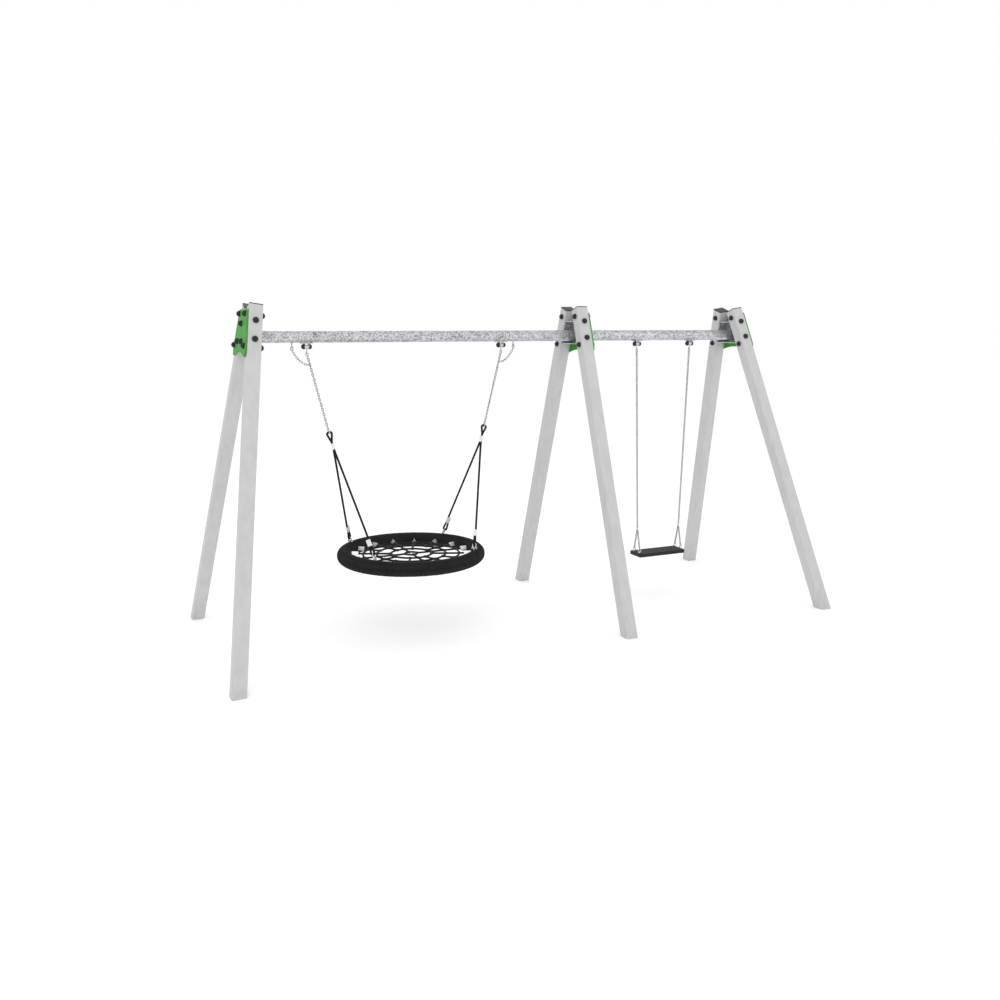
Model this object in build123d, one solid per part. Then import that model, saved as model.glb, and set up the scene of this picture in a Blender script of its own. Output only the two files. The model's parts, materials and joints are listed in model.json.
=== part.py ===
"""Double swing set: a nest swing and a flat rubber seat on three leaning steel A-frames.

X runs along the top beams, Y across them and Z up; the ground is Z = 0 and the origin is under the
middle of the set. A frame's own axes lie in its plane: x across the plane, y as Y, z up the plane,
with the origin where the two leg axes end at the top. A leg's own axes have z up the leg.
"""

from build123d import *

import os
from functools import lru_cache
from math import acos, asinh, cos, cosh, radians, sin, sinh, tan
from typing import NamedTuple

os.makedirs("parts", exist_ok=True)

# Overall sizes
TOP_HEIGHT = 2590.0  # ground to the top end of the leg axes
HALF_SPAN = 2130.0  # middle of the set to an outer frame, at the top
MIDDLE_FRAME_X = 541.0
FRAME_LEAN = 8.65  # degrees the outer frames' feet splay away from the set
LEG_SPLAY = 19.0  # degrees between a leg and its frame's centreline

# Legs and their caps
LEG = 100.0
LEG_WALL = 4.0
LEG_CORNER = 6.0
LEG_TOP_OFFSET = 91.5  # frame centreline to a leg's axis at the top
LEG_CAP = 8.0
LEG_PLUG = 20.0
LEG_PLUG_WALL = 4.0
LEG_PLUG_FIT = 0.3

# Top joint: bracket, green plate and bolts
BEAM_DROP = 226.0  # leg axis end down to the beam axis
BEAM = 88.9
BEAM_WALL = 4.0
BRACKET_TOP = 105.0  # leg axis end down to the bracket's top flange
BRACKET_DEPTH = 90.0
BRACKET_SHEET = 6.0
BRACKET_ROOM = 8.0  # beam to the bracket's bottom flange
BEAM_FLANGE = 8.0
PLATE = 15.0
PLATE_TOP = 36.0
PLATE_LOBE = 375.0  # leg axis end down to the plate's lobes
PLATE_ARCH = 343.0  # and to the top of the arch between them
PLATE_EDGE = 42.0  # leg axis out to the plate's edge
PLATE_LOBE_INSET = 26.0  # leg axis in to the start of the arch
PLATE_FOOT = 325.0  # leg axis end down to where the lobes turn in
PLATE_LOBE_OUTSET = 8.0  # leg axis out to the lobe's lowest corner
PLATE_FOOT_RADIUS = 60.0
PLATE_LOBE_RADIUS = 20.0
PLATE_CORNER_RADIUS = 12.0
SIDE_BOLTS = (72.0, 315.0)  # down the leg, across the frame
FACE_BOLTS = (129.0, 270.5)  # down the leg, into the bracket
WEB_BOLTS = ((0.0, 139.5), (79.0, 269.0), (-79.0, 269.0))  # sideways and down from the frame's top

# Bolts
BOLT = 10.0
BOLT_HOLE = 11.0
BOLT_TAIL = 2.0  # thread past the nut
HEX_FLATS = 1.7  # across a hexagon's flats, in bolt diameters
HEAD_HEIGHT = 0.64
NUT_HEIGHT = 0.84
WASHER_SIZE = 1.9
WASHER_SHEET = 2.0
THREAD_FIT = 0.05
DOME = 44.0
DOME_RISE = 26.0
DOME_ROOM = 22.0  # cavity over a nut
DOME_ROOM_DEPTH = 13.0

# Hangers
PIVOT_DROP = 73.0  # beam axis down to a swing's pivot
NEST_X = -940.0
NEST_HANGER = 803.5  # nest centre to each hanger
NEST_SAFETY = 111.0  # hanger out to its safety eye
SEAT_X = 1448.0
SEAT_HANGER = 276.0
EAR = 5.0
EAR_GAP = 25.0
EAR_WIDTH = 40.0
SADDLE_LENGTH = 100.0
SADDLE_SHEET = 5.0
PIVOT_BOLT = 12.0
PIVOT_FIT = 0.05
BUSH = 18.0
BOSS = 30.0
SIDE_PLAY = 0.4
NECK = 8.0
NECK_WIDTH = 12.0
EYE_DROP = 42.0  # pivot down to the middle of the eye under the boss
EYE_RADIUS = 6.0  # inside of that eye
EYE_WIRE = 8.0
HANGER_DOME = 41.0
HANGER_DOME_RISE = 24.0
HANGER_DOME_ROOM = 24.0
HANGER_DOME_DEPTH = 17.0
SAFETY_TAB = 6.0
SAFETY_TAB_WIDTH = 24.0
SAFETY_FIT = 1.4
SAFETY_SHANK = 10.0

# Chains
LINK_GAP = 0.25  # play between two links
CHAIN_WIRE = 6.0
CHAIN_ROOM = 8.0  # inside width of a link
CHAIN_PITCH = 19.6
LEAD_WIRE = 7.0
LEAD_ROOM = 10.0
LEAD_PITCH = 22.0
SAFETY_WIRE = 5.0
SAFETY_JOIN = 4  # the main chain's link that the safety chain hooks into

# Nest ropes and their shackles
ROPE = 16.0
NEST_EYE_HEIGHT = 1638.0  # ground to the rope's centreline in its top eye
ROPE_BEND = 19.0  # radius of a top eye's centreline
LOWER_BEND = 12.8  # the same in a lower eye
EYE_SHOULDER = 1.24  # bend radii from an eye's apex to the corners it turns at
STRAND = ROPE / 2 + 0.4  # a sleeve's middle to each strand in it
TOP_EYE_LENGTH = 88.0  # top eye to where its strands meet
EYE_LENGTH = 72.0  # a lower eye, the same way
SLEEVE = 21.0
SLEEVE_LENGTH = 52.0
SHACKLE_WIRE = 8.0
SHACKLE_ROOM = 19.0
ROPE_PLAY = 1.2
EYE_REST = 1.375  # a top eye's inside down to the joint with its shackle
SHACKLE_EAR = 18.0
SHACKLE_EAR_SHEET = 7.0
SHACKLE_LEG = 26.0  # pin up to where the bow bends
SHACKLE_PIN = 8.0
SHACKLE_PIN_HEAD = 13.0
LUG = 6.0
LUG_WIDTH = 18.0
LUG_RISE = 14.0  # ring surface out to the shackle's pin
LUG_ANGLE = 43.0  # degrees round the ring from X

# Nest ring and net
RING_HEIGHT = 620.0
RING_RADIUS = 541.0
RING_TUBE = 118.0
RING_WRAP = 12.0
RING_CORE = 60.3
RING_CORE_WALL = 3.0
NET_ANCHORS = 16
NET_DROP = 1.5  # ring's middle down to the net's
NET_ROPE = 16.0
NET_KNOT = 30.0
NET_CLAMP = 34.0  # width and height of a clamp's three-sided section
NET_CLAMP_FOOT = 10.5  # rope's middle down to that section's foot
NET_CLAMP_LENGTH = 52.0
NET_CLAMP_ROUND = 3.0
BALL_SEAM = 235.0  # degrees round from a knot's spoke

# Flat seat
SEAT_TOP = 418.0
SEAT_LENGTH = 485.0
SEAT_WIDTH = 177.0
SEAT_THICKNESS = 33.5
SEAT_CORNER = 14.0
SEAT_ROUND = 4.0
SEAT_INSERT = 4.0
SEAT_INSERT_MARGIN = 16.0
SEAT_EYE_X = 222.0
SEAT_EYE_Y = 45.0
SEAT_EYE_RISE = 22.0
SEAT_EYE_ROOM = 9.0
SEAT_EYE_COLLAR = 22.0
SEAT_EYE_COLLAR_RISE = 11.0
SEAT_EYE_STEM = 12.0
APEX_HEIGHT = 628.0
APEX_ROOM = 16.0
APEX_PITCH = 22.0
APEX_WIRE = 6.0

# Room past a piece for the tools that cut it
SPARE = 400.0


class Frame(NamedTuple):
    """One A-frame: its name, where it stands, its lean and the side its plate is on."""

    name: str
    x: float
    lean: float
    plate_side: int


class NetRing(NamedTuple):
    """One ring of the net: its radius and which anchors of each quarter it is tied in line with."""

    radius: float
    ties: tuple


NET_RINGS = (
    NetRing(390.0, (0, 1, 2, 3)),
    NetRing(280.0, (0, 1, 2, 3)),
    NetRing(166.0, (0, 1, 3)),
    NetRing(50.0, (0,)),
)

FRAMES = (
    Frame("left", -HALF_SPAN, FRAME_LEAN, -1),
    Frame("middle", MIDDLE_FRAME_X, 0.0, 1),
    Frame("right", HALF_SPAN, -FRAME_LEAN, 1),
)
SIDES = (("rear", 1), ("front", -1))
BEAM_HEIGHT = TOP_HEIGHT - BEAM_DROP
PIVOT_HEIGHT = BEAM_HEIGHT - PIVOT_DROP
SPLAY = radians(LEG_SPLAY)
BRACKET_BOTTOM = (
    BEAM_DROP + BEAM / 2 + LEG / 2 * sin(radians(FRAME_LEAN))
) / cos(radians(FRAME_LEAN)) + BRACKET_ROOM + BRACKET_SHEET


# --- places -------------------------------------------------------------------------------------


def frame_place(frame):
    """The frame's own axes in the set."""
    return Location((frame.x, 0, TOP_HEIGHT), (0, frame.lean, 0))


def leg_place(frame, side):
    """A leg's own axes in the set; side is 1 at the rear and -1 at the front."""
    return frame_place(frame) * Location((0, side * LEG_TOP_OFFSET, 0), (side * LEG_SPLAY, 0, 0))


def leg_y(drop, across=0.0):
    """How far out a line beside the leg's axis is, a given drop below the frame's top."""
    return LEG_TOP_OFFSET + drop * tan(SPLAY) + across / cos(SPLAY)


def along(start, way, distance):
    """The point a distance from start along a unit vector."""
    return start + way * distance


def rod(start, end, diameter):
    """A round bar between two points."""
    way = (end - start).normalized()
    middle = (start + end) * 0.5
    place = Plane(origin=middle, z_dir=way).location
    return place * Cylinder(diameter / 2, (end - start).length)


def ball(centre, diameter):
    """A ball about a point, with its seam turned clear of the ropes that it cuts."""
    return Location(tuple(centre), (0, 0, BALL_SEAM)) * Sphere(diameter / 2)


def group(name, solids):
    """Writes separate solids as one node."""
    export_step(Compound(label=name, children=list(solids)), f"parts/{name}.step")


def single(name, shape):
    """Writes one piece as one node."""
    group(name, shape.solids())


# --- bolts --------------------------------------------------------------------------------------


def hexagon(bolt_diameter, height):
    """A hexagon head or nut blank standing on z = 0."""
    flats = HEX_FLATS * bolt_diameter
    return extrude(RegularPolygon(flats / 2, 6, major_radius=False), height)


def head_height(bolt_diameter):
    """How tall a bolt's head is."""
    return HEAD_HEIGHT * bolt_diameter


def nut_height(bolt_diameter):
    """How tall a nut is."""
    return NUT_HEIGHT * bolt_diameter


def bolt(diameter, grip):
    """A bolt with its head down at z = 0, its grip up to z = grip and a tail past its nut."""
    head = Pos(0, 0, -WASHER_SHEET - head_height(diameter)) * hexagon(diameter, head_height(diameter))
    length = WASHER_SHEET + grip + WASHER_SHEET + nut_height(diameter) + BOLT_TAIL
    shank = Pos(0, 0, -WASHER_SHEET + length / 2) * Cylinder(diameter / 2, length)
    return head + shank


def washers(diameter, grip):
    """The two washers of a bolt."""
    bore = Cylinder(diameter / 2 + THREAD_FIT, 2 * WASHER_SHEET)
    ring = Cylinder(WASHER_SIZE * diameter / 2, WASHER_SHEET) - bore
    return [Pos(0, 0, -WASHER_SHEET / 2) * ring, Pos(0, 0, grip + WASHER_SHEET / 2) * ring]


def nut(diameter, grip):
    """The nut of a bolt."""
    blank = hexagon(diameter, nut_height(diameter))
    bore = Cylinder(diameter / 2 + THREAD_FIT, 4 * diameter)
    return Pos(0, 0, grip + WASHER_SHEET) * (blank - bore)


def dome(diameter, rise, room, depth):
    """A domed cap standing on z = 0, hollow over a bolt's end."""
    radius = (diameter**2 / 4 + rise**2) / (2 * rise)
    shell = Pos(0, 0, rise - radius) * Sphere(radius)
    keep = Pos(0, 0, rise) * Cylinder(diameter / 2, 2 * rise)
    return (shell & keep) - Cylinder(room / 2, 2 * depth)


@lru_cache
def bolt_parts(grip):
    """A frame bolt with its washers and nut, as bolt, washers and nut."""
    return bolt(BOLT, grip), washers(BOLT, grip), nut(BOLT, grip)


@lru_cache
def frame_dome():
    """The cap of a frame bolt."""
    return dome(DOME, DOME_RISE, DOME_ROOM, DOME_ROOM_DEPTH)


# --- frames -------------------------------------------------------------------------------------


def hole(x, y, z, direction, reach):
    """A bolt hole through a piece, along x or y."""
    turn = (0, 90, 0) if direction == "x" else (90, 0, 0)
    return Location((x, y, z), turn) * Cylinder(BOLT_HOLE / 2, reach)


def leg(frame, side):
    """A square tube leg, cut level at the ground."""
    length = 1.4 * TOP_HEIGHT
    bore = LEG - 2 * LEG_WALL
    section = RectangleRounded(LEG, LEG, LEG_CORNER)
    section -= RectangleRounded(bore, bore, LEG_CORNER - LEG_WALL)
    tube = Pos(0, 0, -LEG_CAP - length) * extrude(section, length)
    for down in SIDE_BOLTS:
        tube -= hole(0, 0, -down, "x", 2 * LEG)
    for down in FACE_BOLTS:
        tube -= hole(0, 0, -down, "y", 2 * LEG)
    placed = leg_place(frame, side) * tube
    under = Pos(frame.x, 0, -TOP_HEIGHT) * Box(4 * TOP_HEIGHT, 4 * TOP_HEIGHT, 2 * TOP_HEIGHT)
    return placed - under


def leg_cap(frame, side):
    """The plastic end cap on a leg, with its plug inside the tube."""
    bore = LEG - 2 * LEG_WALL - 2 * LEG_PLUG_FIT
    lid = extrude(RectangleRounded(LEG, LEG, LEG_CORNER), -LEG_CAP)
    lid = chamfer(lid.faces().sort_by(Axis.Z)[-1].edges(), LEG_CAP / 4)
    plug = extrude(RectangleRounded(bore, bore, LEG_CORNER - LEG_WALL), -LEG_CAP - LEG_PLUG)
    room = bore - 2 * LEG_PLUG_WALL
    plug -= extrude(Rectangle(room, room), -2 * LEG_PLUG - LEG_CAP)
    return leg_place(frame, side) * (lid + plug)


def between_legs(inset):
    """The outline between a frame's legs at the bracket, as a face in the frame's plane."""
    top = BRACKET_TOP + inset
    bottom = BRACKET_BOTTOM - inset
    upper = leg_y(top, -LEG / 2 - inset)
    lower = leg_y(bottom, -LEG / 2 - inset)
    corners = [(upper, -top), (lower, -bottom), (-lower, -bottom), (-upper, -top)]
    return Plane.YZ * make_face(Polyline(*corners, close=True))


def bracket(frame):
    """The galvanised tray between a frame's legs that takes the beam's end."""
    side = frame.plate_side
    tray = extrude(between_legs(0), BRACKET_DEPTH)
    tray -= Pos(BRACKET_SHEET, 0, 0) * extrude(between_legs(BRACKET_SHEET), BRACKET_DEPTH)
    tray = Pos(-LEG / 2, 0, 0) * tray
    if side > 0:
        tray = Rot(0, 0, 180) * tray
    for y, down in WEB_BOLTS:
        tray -= hole(side * LEG / 2, y, -down, "x", LEG / 2)
    place = frame_place(frame)
    for _, leg_side in SIDES:
        for down in FACE_BOLTS:
            local = Location((0, leg_side * LEG_TOP_OFFSET, 0), (leg_side * LEG_SPLAY, 0, 0))
            tray -= local * hole(0, -leg_side * LEG / 2, -down, "y", LEG / 2)
    return place * tray


def corners_at(board, across, down):
    """A board's edges along x at two mirrored corners of its outline."""
    return [
        edge
        for edge in board.edges().filter_by(Axis.X)
        if abs(abs(edge.center().Y) - across) < 1 and abs(edge.center().Z + down) < 1
    ]


def plate(frame):
    """The green plate across a frame's two legs."""
    top = leg_y(PLATE_TOP, PLATE_EDGE)
    foot = leg_y(PLATE_FOOT, PLATE_EDGE)
    lobe = leg_y(PLATE_LOBE) - PLATE_LOBE_INSET
    low = leg_y(PLATE_LOBE) + PLATE_LOBE_OUTSET
    right = [(lobe, -PLATE_LOBE), (low, -PLATE_LOBE), (foot, -PLATE_FOOT), (top, -PLATE_TOP)]
    left = [(-y, z) for y, z in reversed(right)]
    arch = ThreePointArc((-lobe, -PLATE_LOBE), (0, -PLATE_ARCH), (lobe, -PLATE_LOBE))
    edges = [Polyline(*right, *left), arch]
    face = Plane.YZ * make_face(edges)
    board = extrude(face, PLATE)
    board = fillet(corners_at(board, foot, PLATE_FOOT), PLATE_FOOT_RADIUS)
    board = fillet(corners_at(board, low, PLATE_LOBE), PLATE_LOBE_RADIUS)
    small = corners_at(board, lobe, PLATE_LOBE) + corners_at(board, top, PLATE_TOP)
    board = fillet(small, PLATE_CORNER_RADIUS)
    start = LEG / 2 if frame.plate_side > 0 else -LEG / 2 - PLATE
    board = Pos(start, 0, 0) * board
    middle = frame.plate_side * (LEG + PLATE) / 2
    for y, down in WEB_BOLTS:
        board -= hole(middle, y, -down, "x", 2 * PLATE)
    for _, side in SIDES:
        for down in SIDE_BOLTS:
            level = down * cos(SPLAY)
            board -= hole(middle, side * leg_y(level), -level, "x", 2 * PLATE)
    return frame_place(frame) * board


def beyond(frame, x, way):
    """Everything past a plane across a frame's own x, to cut a beam's end with."""
    size = 2 * HALF_SPAN
    return frame_place(frame) * Pos(x + way * size / 2, 0, -BEAM_DROP) * Box(size, size, size)


def beam_tube():
    """The round beam tube over the whole set, before its ends are cut."""
    length = 2 * HALF_SPAN + SPARE
    tube = Cylinder(BEAM / 2, length) - Cylinder(BEAM / 2 - BEAM_WALL, 2 * length)
    return Location((0, 0, BEAM_HEIGHT), (0, 90, 0)) * tube


def nest_beam():
    """The beam over the nest swing, between the webs of the left and middle brackets."""
    left, middle, _ = FRAMES
    web = LEG / 2 - BRACKET_SHEET
    return beam_tube() - beyond(left, -web, -1) - beyond(middle, web, 1)


def seat_beam():
    """The beam over the flat seat, with its bolted flange on the middle frame's plate."""
    _, middle, right = FRAMES
    face = LEG / 2 + PLATE
    tube = beam_tube() - beyond(middle, face, -1) - beyond(right, LEG / 2 - BRACKET_SHEET, 1)
    flange = Pos(face, 0, 0) * extrude(between_legs(2 * BRACKET_SHEET), BEAM_FLANGE)
    for y, down in WEB_BOLTS:
        flange -= hole(face, y, -down, "x", 4 * BEAM_FLANGE)
    bore = Location((face, 0, -BEAM_DROP), (0, 90, 0)) * Cylinder(BEAM / 2 - BEAM_WALL, SPARE)
    return tube + frame_place(middle) * (flange - bore)


def frame_bolt_places():
    """Every frame bolt as its place, its grip and whether its nut end has a cap too."""
    places = []
    for frame in FRAMES:
        out = frame.plate_side
        for _, side in SIDES:
            leg_at = leg_place(frame, side)
            for down in SIDE_BOLTS:
                at = leg_at * Location((out * (LEG / 2 + PLATE), 0, -down), (0, -out * 90, 0))
                places.append((at, LEG + PLATE, True))
            for down in FACE_BOLTS:
                at = leg_at * Location((0, side * LEG / 2, -down), (side * 90, 0, 0))
                places.append((at, LEG + BRACKET_SHEET, False))
        flange = BEAM_FLANGE if frame.name == "middle" else 0.0
        for y, down in WEB_BOLTS:
            at = Location((out * (LEG / 2 + PLATE + flange), y, -down), (0, -out * 90, 0))
            places.append((frame_place(frame) * at, BRACKET_SHEET + PLATE + flange, False))
    return places


def write_frames():
    """Writes the three A-frames, their plates and the beams."""
    caps = []
    for frame in FRAMES:
        for where, side in SIDES:
            single(f"leg_{frame.name}_{where}", leg(frame, side))
            caps += leg_cap(frame, side).solids()
        single(f"bracket_{frame.name}", bracket(frame))
        single(f"plate_{frame.name}", plate(frame))
    group("leg_caps", caps)
    single("beam_nest", nest_beam())
    single("beam_seat", seat_beam())


def write_frame_bolts():
    """Writes the frame bolts, washers, nuts and caps."""
    bolts, rings, nuts, domes = [], [], [], []
    for at, grip, capped in frame_bolt_places():
        one, pair, hexed = bolt_parts(grip)
        bolts.append(one.moved(at))
        rings += [ring.moved(at) for ring in pair]
        nuts.append(hexed.moved(at))
        domes.append(frame_dome().moved(at * Rot(180, 0, 0)))
        if capped:
            domes.append(frame_dome().moved(at * Pos(0, 0, grip)))
    group("frame_bolts", bolts)
    group("frame_washers", rings)
    group("frame_nuts", nuts)
    group("frame_bolt_caps", domes)


# --- hangers ------------------------------------------------------------------------------------


def hanger_bracket(x):
    """The saddle and two ears welded under a beam at a hanger."""
    beam = Location((x, 0, BEAM_HEIGHT), (0, 90, 0)) * Cylinder(BEAM / 2, SPARE)
    saddle = Location((x, 0, BEAM_HEIGHT), (0, 90, 0)) * Cylinder(
        BEAM / 2 + SADDLE_SHEET, SADDLE_LENGTH
    )
    under = Pos(x, 0, BEAM_HEIGHT - BEAM / 2) * Box(SADDLE_LENGTH, EAR_WIDTH, BEAM / 2)
    bracket_body = saddle & under
    height = PIVOT_DROP - BEAM / 4
    for way in (-1, 1):
        centre = x + way * (EAR_GAP + EAR) / 2
        upright = Pos(centre, 0, PIVOT_HEIGHT + height / 2) * Box(EAR, EAR_WIDTH, height)
        tip = Location((centre, 0, PIVOT_HEIGHT), (0, 90, 0)) * Cylinder(EAR_WIDTH / 2, EAR)
        bracket_body = bracket_body + upright + tip
    bore = Location((x, 0, PIVOT_HEIGHT), (0, 90, 0)) * Cylinder(PIVOT_BOLT / 2 + PIVOT_FIT, SPARE)
    return bracket_body - beam - bore


def pivot_place(x):
    """Where a pivot bolt starts, pointing along +X."""
    return Location((x - EAR_GAP / 2 - EAR, 0, PIVOT_HEIGHT), (0, 90, 0))


def hanger_bearing(x):
    """The swinging boss between the ears, with the eye under it."""
    width = EAR_GAP - 2 * SIDE_PLAY
    boss = Location((0, 0, 0), (0, 90, 0)) * Cylinder(BOSS / 2, width)
    reach = EYE_DROP - EYE_RADIUS - EYE_WIRE / 2
    neck = Pos(0, 0, -reach / 2) * Box(NECK, NECK_WIDTH, reach)
    eye = Location((0, 0, -EYE_DROP), (0, 90, 0)) * Torus(EYE_RADIUS + EYE_WIRE / 2, EYE_WIRE / 2)
    bore = Location((0, 0, 0), (0, 90, 0)) * Cylinder(BUSH / 2, 2 * EAR_GAP)
    return Pos(x, 0, PIVOT_HEIGHT) * (boss + neck + eye - bore)


def hanger_bush(x):
    """The bush in a bearing, turning on the pivot bolt."""
    width = EAR_GAP - 2 * SIDE_PLAY
    sleeve = Cylinder(BUSH / 2, width) - Cylinder(PIVOT_BOLT / 2 + PIVOT_FIT, 2 * width)
    return Location((x, 0, PIVOT_HEIGHT), (0, 90, 0)) * sleeve


def safety_eye(x):
    """The tab under the beam that a safety chain hangs from, its hole on the pivot's line."""
    tip = Location((x, 0, PIVOT_HEIGHT), (0, 90, 0)) * Cylinder(SAFETY_TAB_WIDTH / 2, SAFETY_TAB)
    shank = Pos(x, 0, PIVOT_HEIGHT + PIVOT_DROP / 2) * Cylinder(SAFETY_SHANK / 2, PIVOT_DROP)
    hole_radius = LEAD_WIRE / 2 + SAFETY_FIT
    bore = Location((x, 0, PIVOT_HEIGHT), (0, 90, 0)) * Cylinder(hole_radius, SAFETY_SHANK * 2)
    beam = Location((x, 0, BEAM_HEIGHT), (0, 90, 0)) * Cylinder(BEAM / 2, SPARE)
    side_room = Pos(x, 0, PIVOT_HEIGHT) * Box(SPARE, SAFETY_TAB_WIDTH, SAFETY_TAB_WIDTH * 0.8)
    side_room -= Pos(x, 0, PIVOT_HEIGHT) * Box(SAFETY_TAB, SPARE, SPARE)
    return tip + (shank - side_room) - bore - beam


def hanger_positions():
    """Every hanger's x, the nest's two first."""
    nest = [NEST_X - NEST_HANGER, NEST_X + NEST_HANGER]
    return nest + [SEAT_X - SEAT_HANGER, SEAT_X + SEAT_HANGER]


def write_hangers():
    """Writes the four hangers and the two safety eyes."""
    grip = EAR_GAP + 2 * EAR
    positions = hanger_positions()
    cap = dome(HANGER_DOME, HANGER_DOME_RISE, HANGER_DOME_ROOM, HANGER_DOME_DEPTH)
    rings, domes = [], []
    for x in positions:
        at = pivot_place(x)
        rings += [ring.moved(at) for ring in washers(PIVOT_BOLT, grip)]
        domes += [cap.moved(at * Rot(180, 0, 0)), cap.moved(at * Pos(0, 0, grip))]
    names = ("nest_left", "nest_right", "seat_left", "seat_right")
    for name, x in zip(names, positions, strict=True):
        single(f"hanger_{name}", hanger_bracket(x))
        single(f"bearing_{name}", hanger_bearing(x))
    group("pivot_bolts", [bolt(PIVOT_BOLT, grip).moved(pivot_place(x)) for x in positions])
    group("pivot_nuts", [nut(PIVOT_BOLT, grip).moved(pivot_place(x)) for x in positions])
    group("pivot_washers", rings)
    group("pivot_caps", domes)
    group("bushes_nest", [hanger_bush(x) for x in positions[:2]])
    group("bushes_seat", [hanger_bush(x) for x in positions[2:]])
    reach = NEST_HANGER + NEST_SAFETY
    group("safety_eyes", [safety_eye(NEST_X + way * reach).solid() for way in (-1, 1)])


# --- chains -------------------------------------------------------------------------------------


@lru_cache
def link(pitch, wire, room):
    """A chain link about the origin, its length along z and its width along x."""
    outline = SlotOverall(pitch + LINK_GAP + wire, room + wire, rotation=90)
    path = (Plane.XZ * outline).wires()[0]
    start = Plane(origin=path @ 0, z_dir=path % 0)
    return sweep(start * Circle(wire / 2), path).solid()


def link_between(start, end, wire, room, width_way):
    """A link between two joints of a chain, its width along width_way."""
    way = (end - start).normalized()
    flat = (width_way - way * width_way.dot(way)).normalized()
    place = Plane(origin=(start + end) * 0.5, x_dir=flat, z_dir=way).location
    return link(round((end - start).length, 3), wire, room).moved(place)


def even_count(length, pitch):
    """The even number of links that fills a length best."""
    return 2 * max(1, round(length / (2 * pitch)))


class Run(NamedTuple):
    """A straight hanging chain: first joint, direction, joints after its lead link, its links."""

    way: Vector
    joints: list
    links: list


ACROSS = Vector(0, 1, 0)


def straight_chain(eye, end):
    """A lead link and an even number of small links from a hanger's eye to an end joint."""
    way = (end - eye).normalized()
    first = along(eye, way, -EYE_WIRE / 2 - LINK_GAP / 2)
    flat = way.cross(ACROSS)
    second = along(first, way, LEAD_PITCH)
    length = (end - second).length
    count = even_count(length, CHAIN_PITCH)
    step = length / count
    joints = [along(second, way, step * i) for i in range(count + 1)]
    links = [link_between(first, second, LEAD_WIRE, LEAD_ROOM, flat)]
    for i in range(count):
        width_way = ACROSS if i % 2 == 0 else flat
        links.append(link_between(joints[i], joints[i + 1], CHAIN_WIRE, CHAIN_ROOM, width_way))
    return Run(way, joints, links)


def hanger_eye(x):
    """The wire's middle at the bottom of a hanger's eye."""
    return Vector(x, 0, PIVOT_HEIGHT - EYE_DROP - EYE_RADIUS - EYE_WIRE / 2)


def catenary_scale(run, fall):
    """The catenary whose lowest point is run across and fall below its start."""
    low, high = run / 20, run * 20
    for _ in range(80):
        scale = (low + high) / 2
        if scale * (cosh(run / scale) - 1) > fall:
            low = scale
        else:
            high = scale
    return scale


def safety_chain(side, run):
    """The slack chain from a safety eye to the side of a link of the main chain."""
    down = Vector(0, 0, -1)
    eye = Vector(NEST_X + side * (NEST_HANGER + NEST_SAFETY), 0, PIVOT_HEIGHT)
    top = along(eye, down, LEAD_WIRE / 2 + LINK_GAP / 2)
    start = along(top, down, LEAD_PITCH)
    out = run.way.cross(ACROSS)
    out = out if out.X * side > 0 else out * -1
    near, far = run.joints[SAFETY_JOIN - 1], run.joints[SAFETY_JOIN]
    hold = along((near + far) * 0.5, out, CHAIN_ROOM / 2 - LINK_GAP / 2)
    across, fall = abs(hold.X - start.X), start.Z - hold.Z
    scale = catenary_scale(across, fall)
    length = scale * sinh(across / scale)
    count = 2 * round((length / CHAIN_PITCH - 1) / 2) + 1
    joints = []
    for i in range(count + 1):
        x = scale * asinh(length * (1 - i / count) / scale)
        z = scale * (cosh(x / scale) - 1)
        joints.append(Vector(hold.X + side * x, 0, hold.Z + z))
    links = [link_between(top, start, LEAD_WIRE, LEAD_ROOM, Vector(1, 0, 0))]
    for i in range(count):
        way = (joints[i + 1] - joints[i]).normalized()
        width_way = ACROSS if i % 2 == 0 else way.cross(ACROSS)
        ends = joints[i], joints[i + 1]
        links.append(link_between(*ends, SAFETY_WIRE, CHAIN_ROOM, width_way))
    return links


def nest_pull(side):
    """Where a side of the nest hangs: its rope eye's apex and the way down to the ring."""
    eye = hanger_eye(NEST_X + side * NEST_HANGER)
    ring = Vector(NEST_X + side * RING_RADIUS * cos(radians(LUG_ANGLE)), 0, RING_HEIGHT)
    way = (ring - eye).normalized()
    apex = along(eye, way, (eye.Z - NEST_EYE_HEIGHT) / -way.Z)
    return apex, way


def nest_chain(side):
    """The main chain of one side of the nest, and the shackle its rope eye hangs in."""
    apex, way = nest_pull(side)
    above = ROPE / 2 + ROPE_PLAY + CHAIN_WIRE + LINK_GAP / 2
    end = along(apex, way, -above)
    run = straight_chain(hanger_eye(NEST_X + side * NEST_HANGER), end)
    bottom = along(apex, way, ROPE / 2 + EYE_REST)
    return run, link_between(end, bottom, SHACKLE_WIRE, SHACKLE_ROOM, ACROSS)


def write_nest_chains():
    """Writes the nest's main chains, safety chains and top shackles."""
    shackles = []
    for name, side in (("left", -1), ("right", 1)):
        run, shackle = nest_chain(side)
        shackles.append(shackle)
        group(f"chain_nest_{name}", run.links)
        group(f"chain_safety_{name}", safety_chain(side, run))
    group("shackles_top", shackles)


# --- nest ropes ---------------------------------------------------------------------------------


def rounded(points, radii):
    """A path through the points with every corner turned by a tangent arc of its radius."""
    edges = []
    last = points[0]
    for before, corner, after, radius in zip(points, points[1:], points[2:], radii):
        back = (before - corner).normalized()
        onward = (after - corner).normalized()
        half = acos(max(-1.0, min(1.0, back.dot(onward)))) / 2
        reach = radius / tan(half)
        centre = along(corner, (back + onward).normalized(), radius / sin(half))
        start, end = along(corner, back, reach), along(corner, onward, reach)
        middle = along(centre, (corner - centre).normalized(), radius)
        edges += [Line(last, start), ThreePointArc(start, middle, end)]
        last = end
    edges.append(Line(last, points[-1]))
    return Wire(edges)


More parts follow.
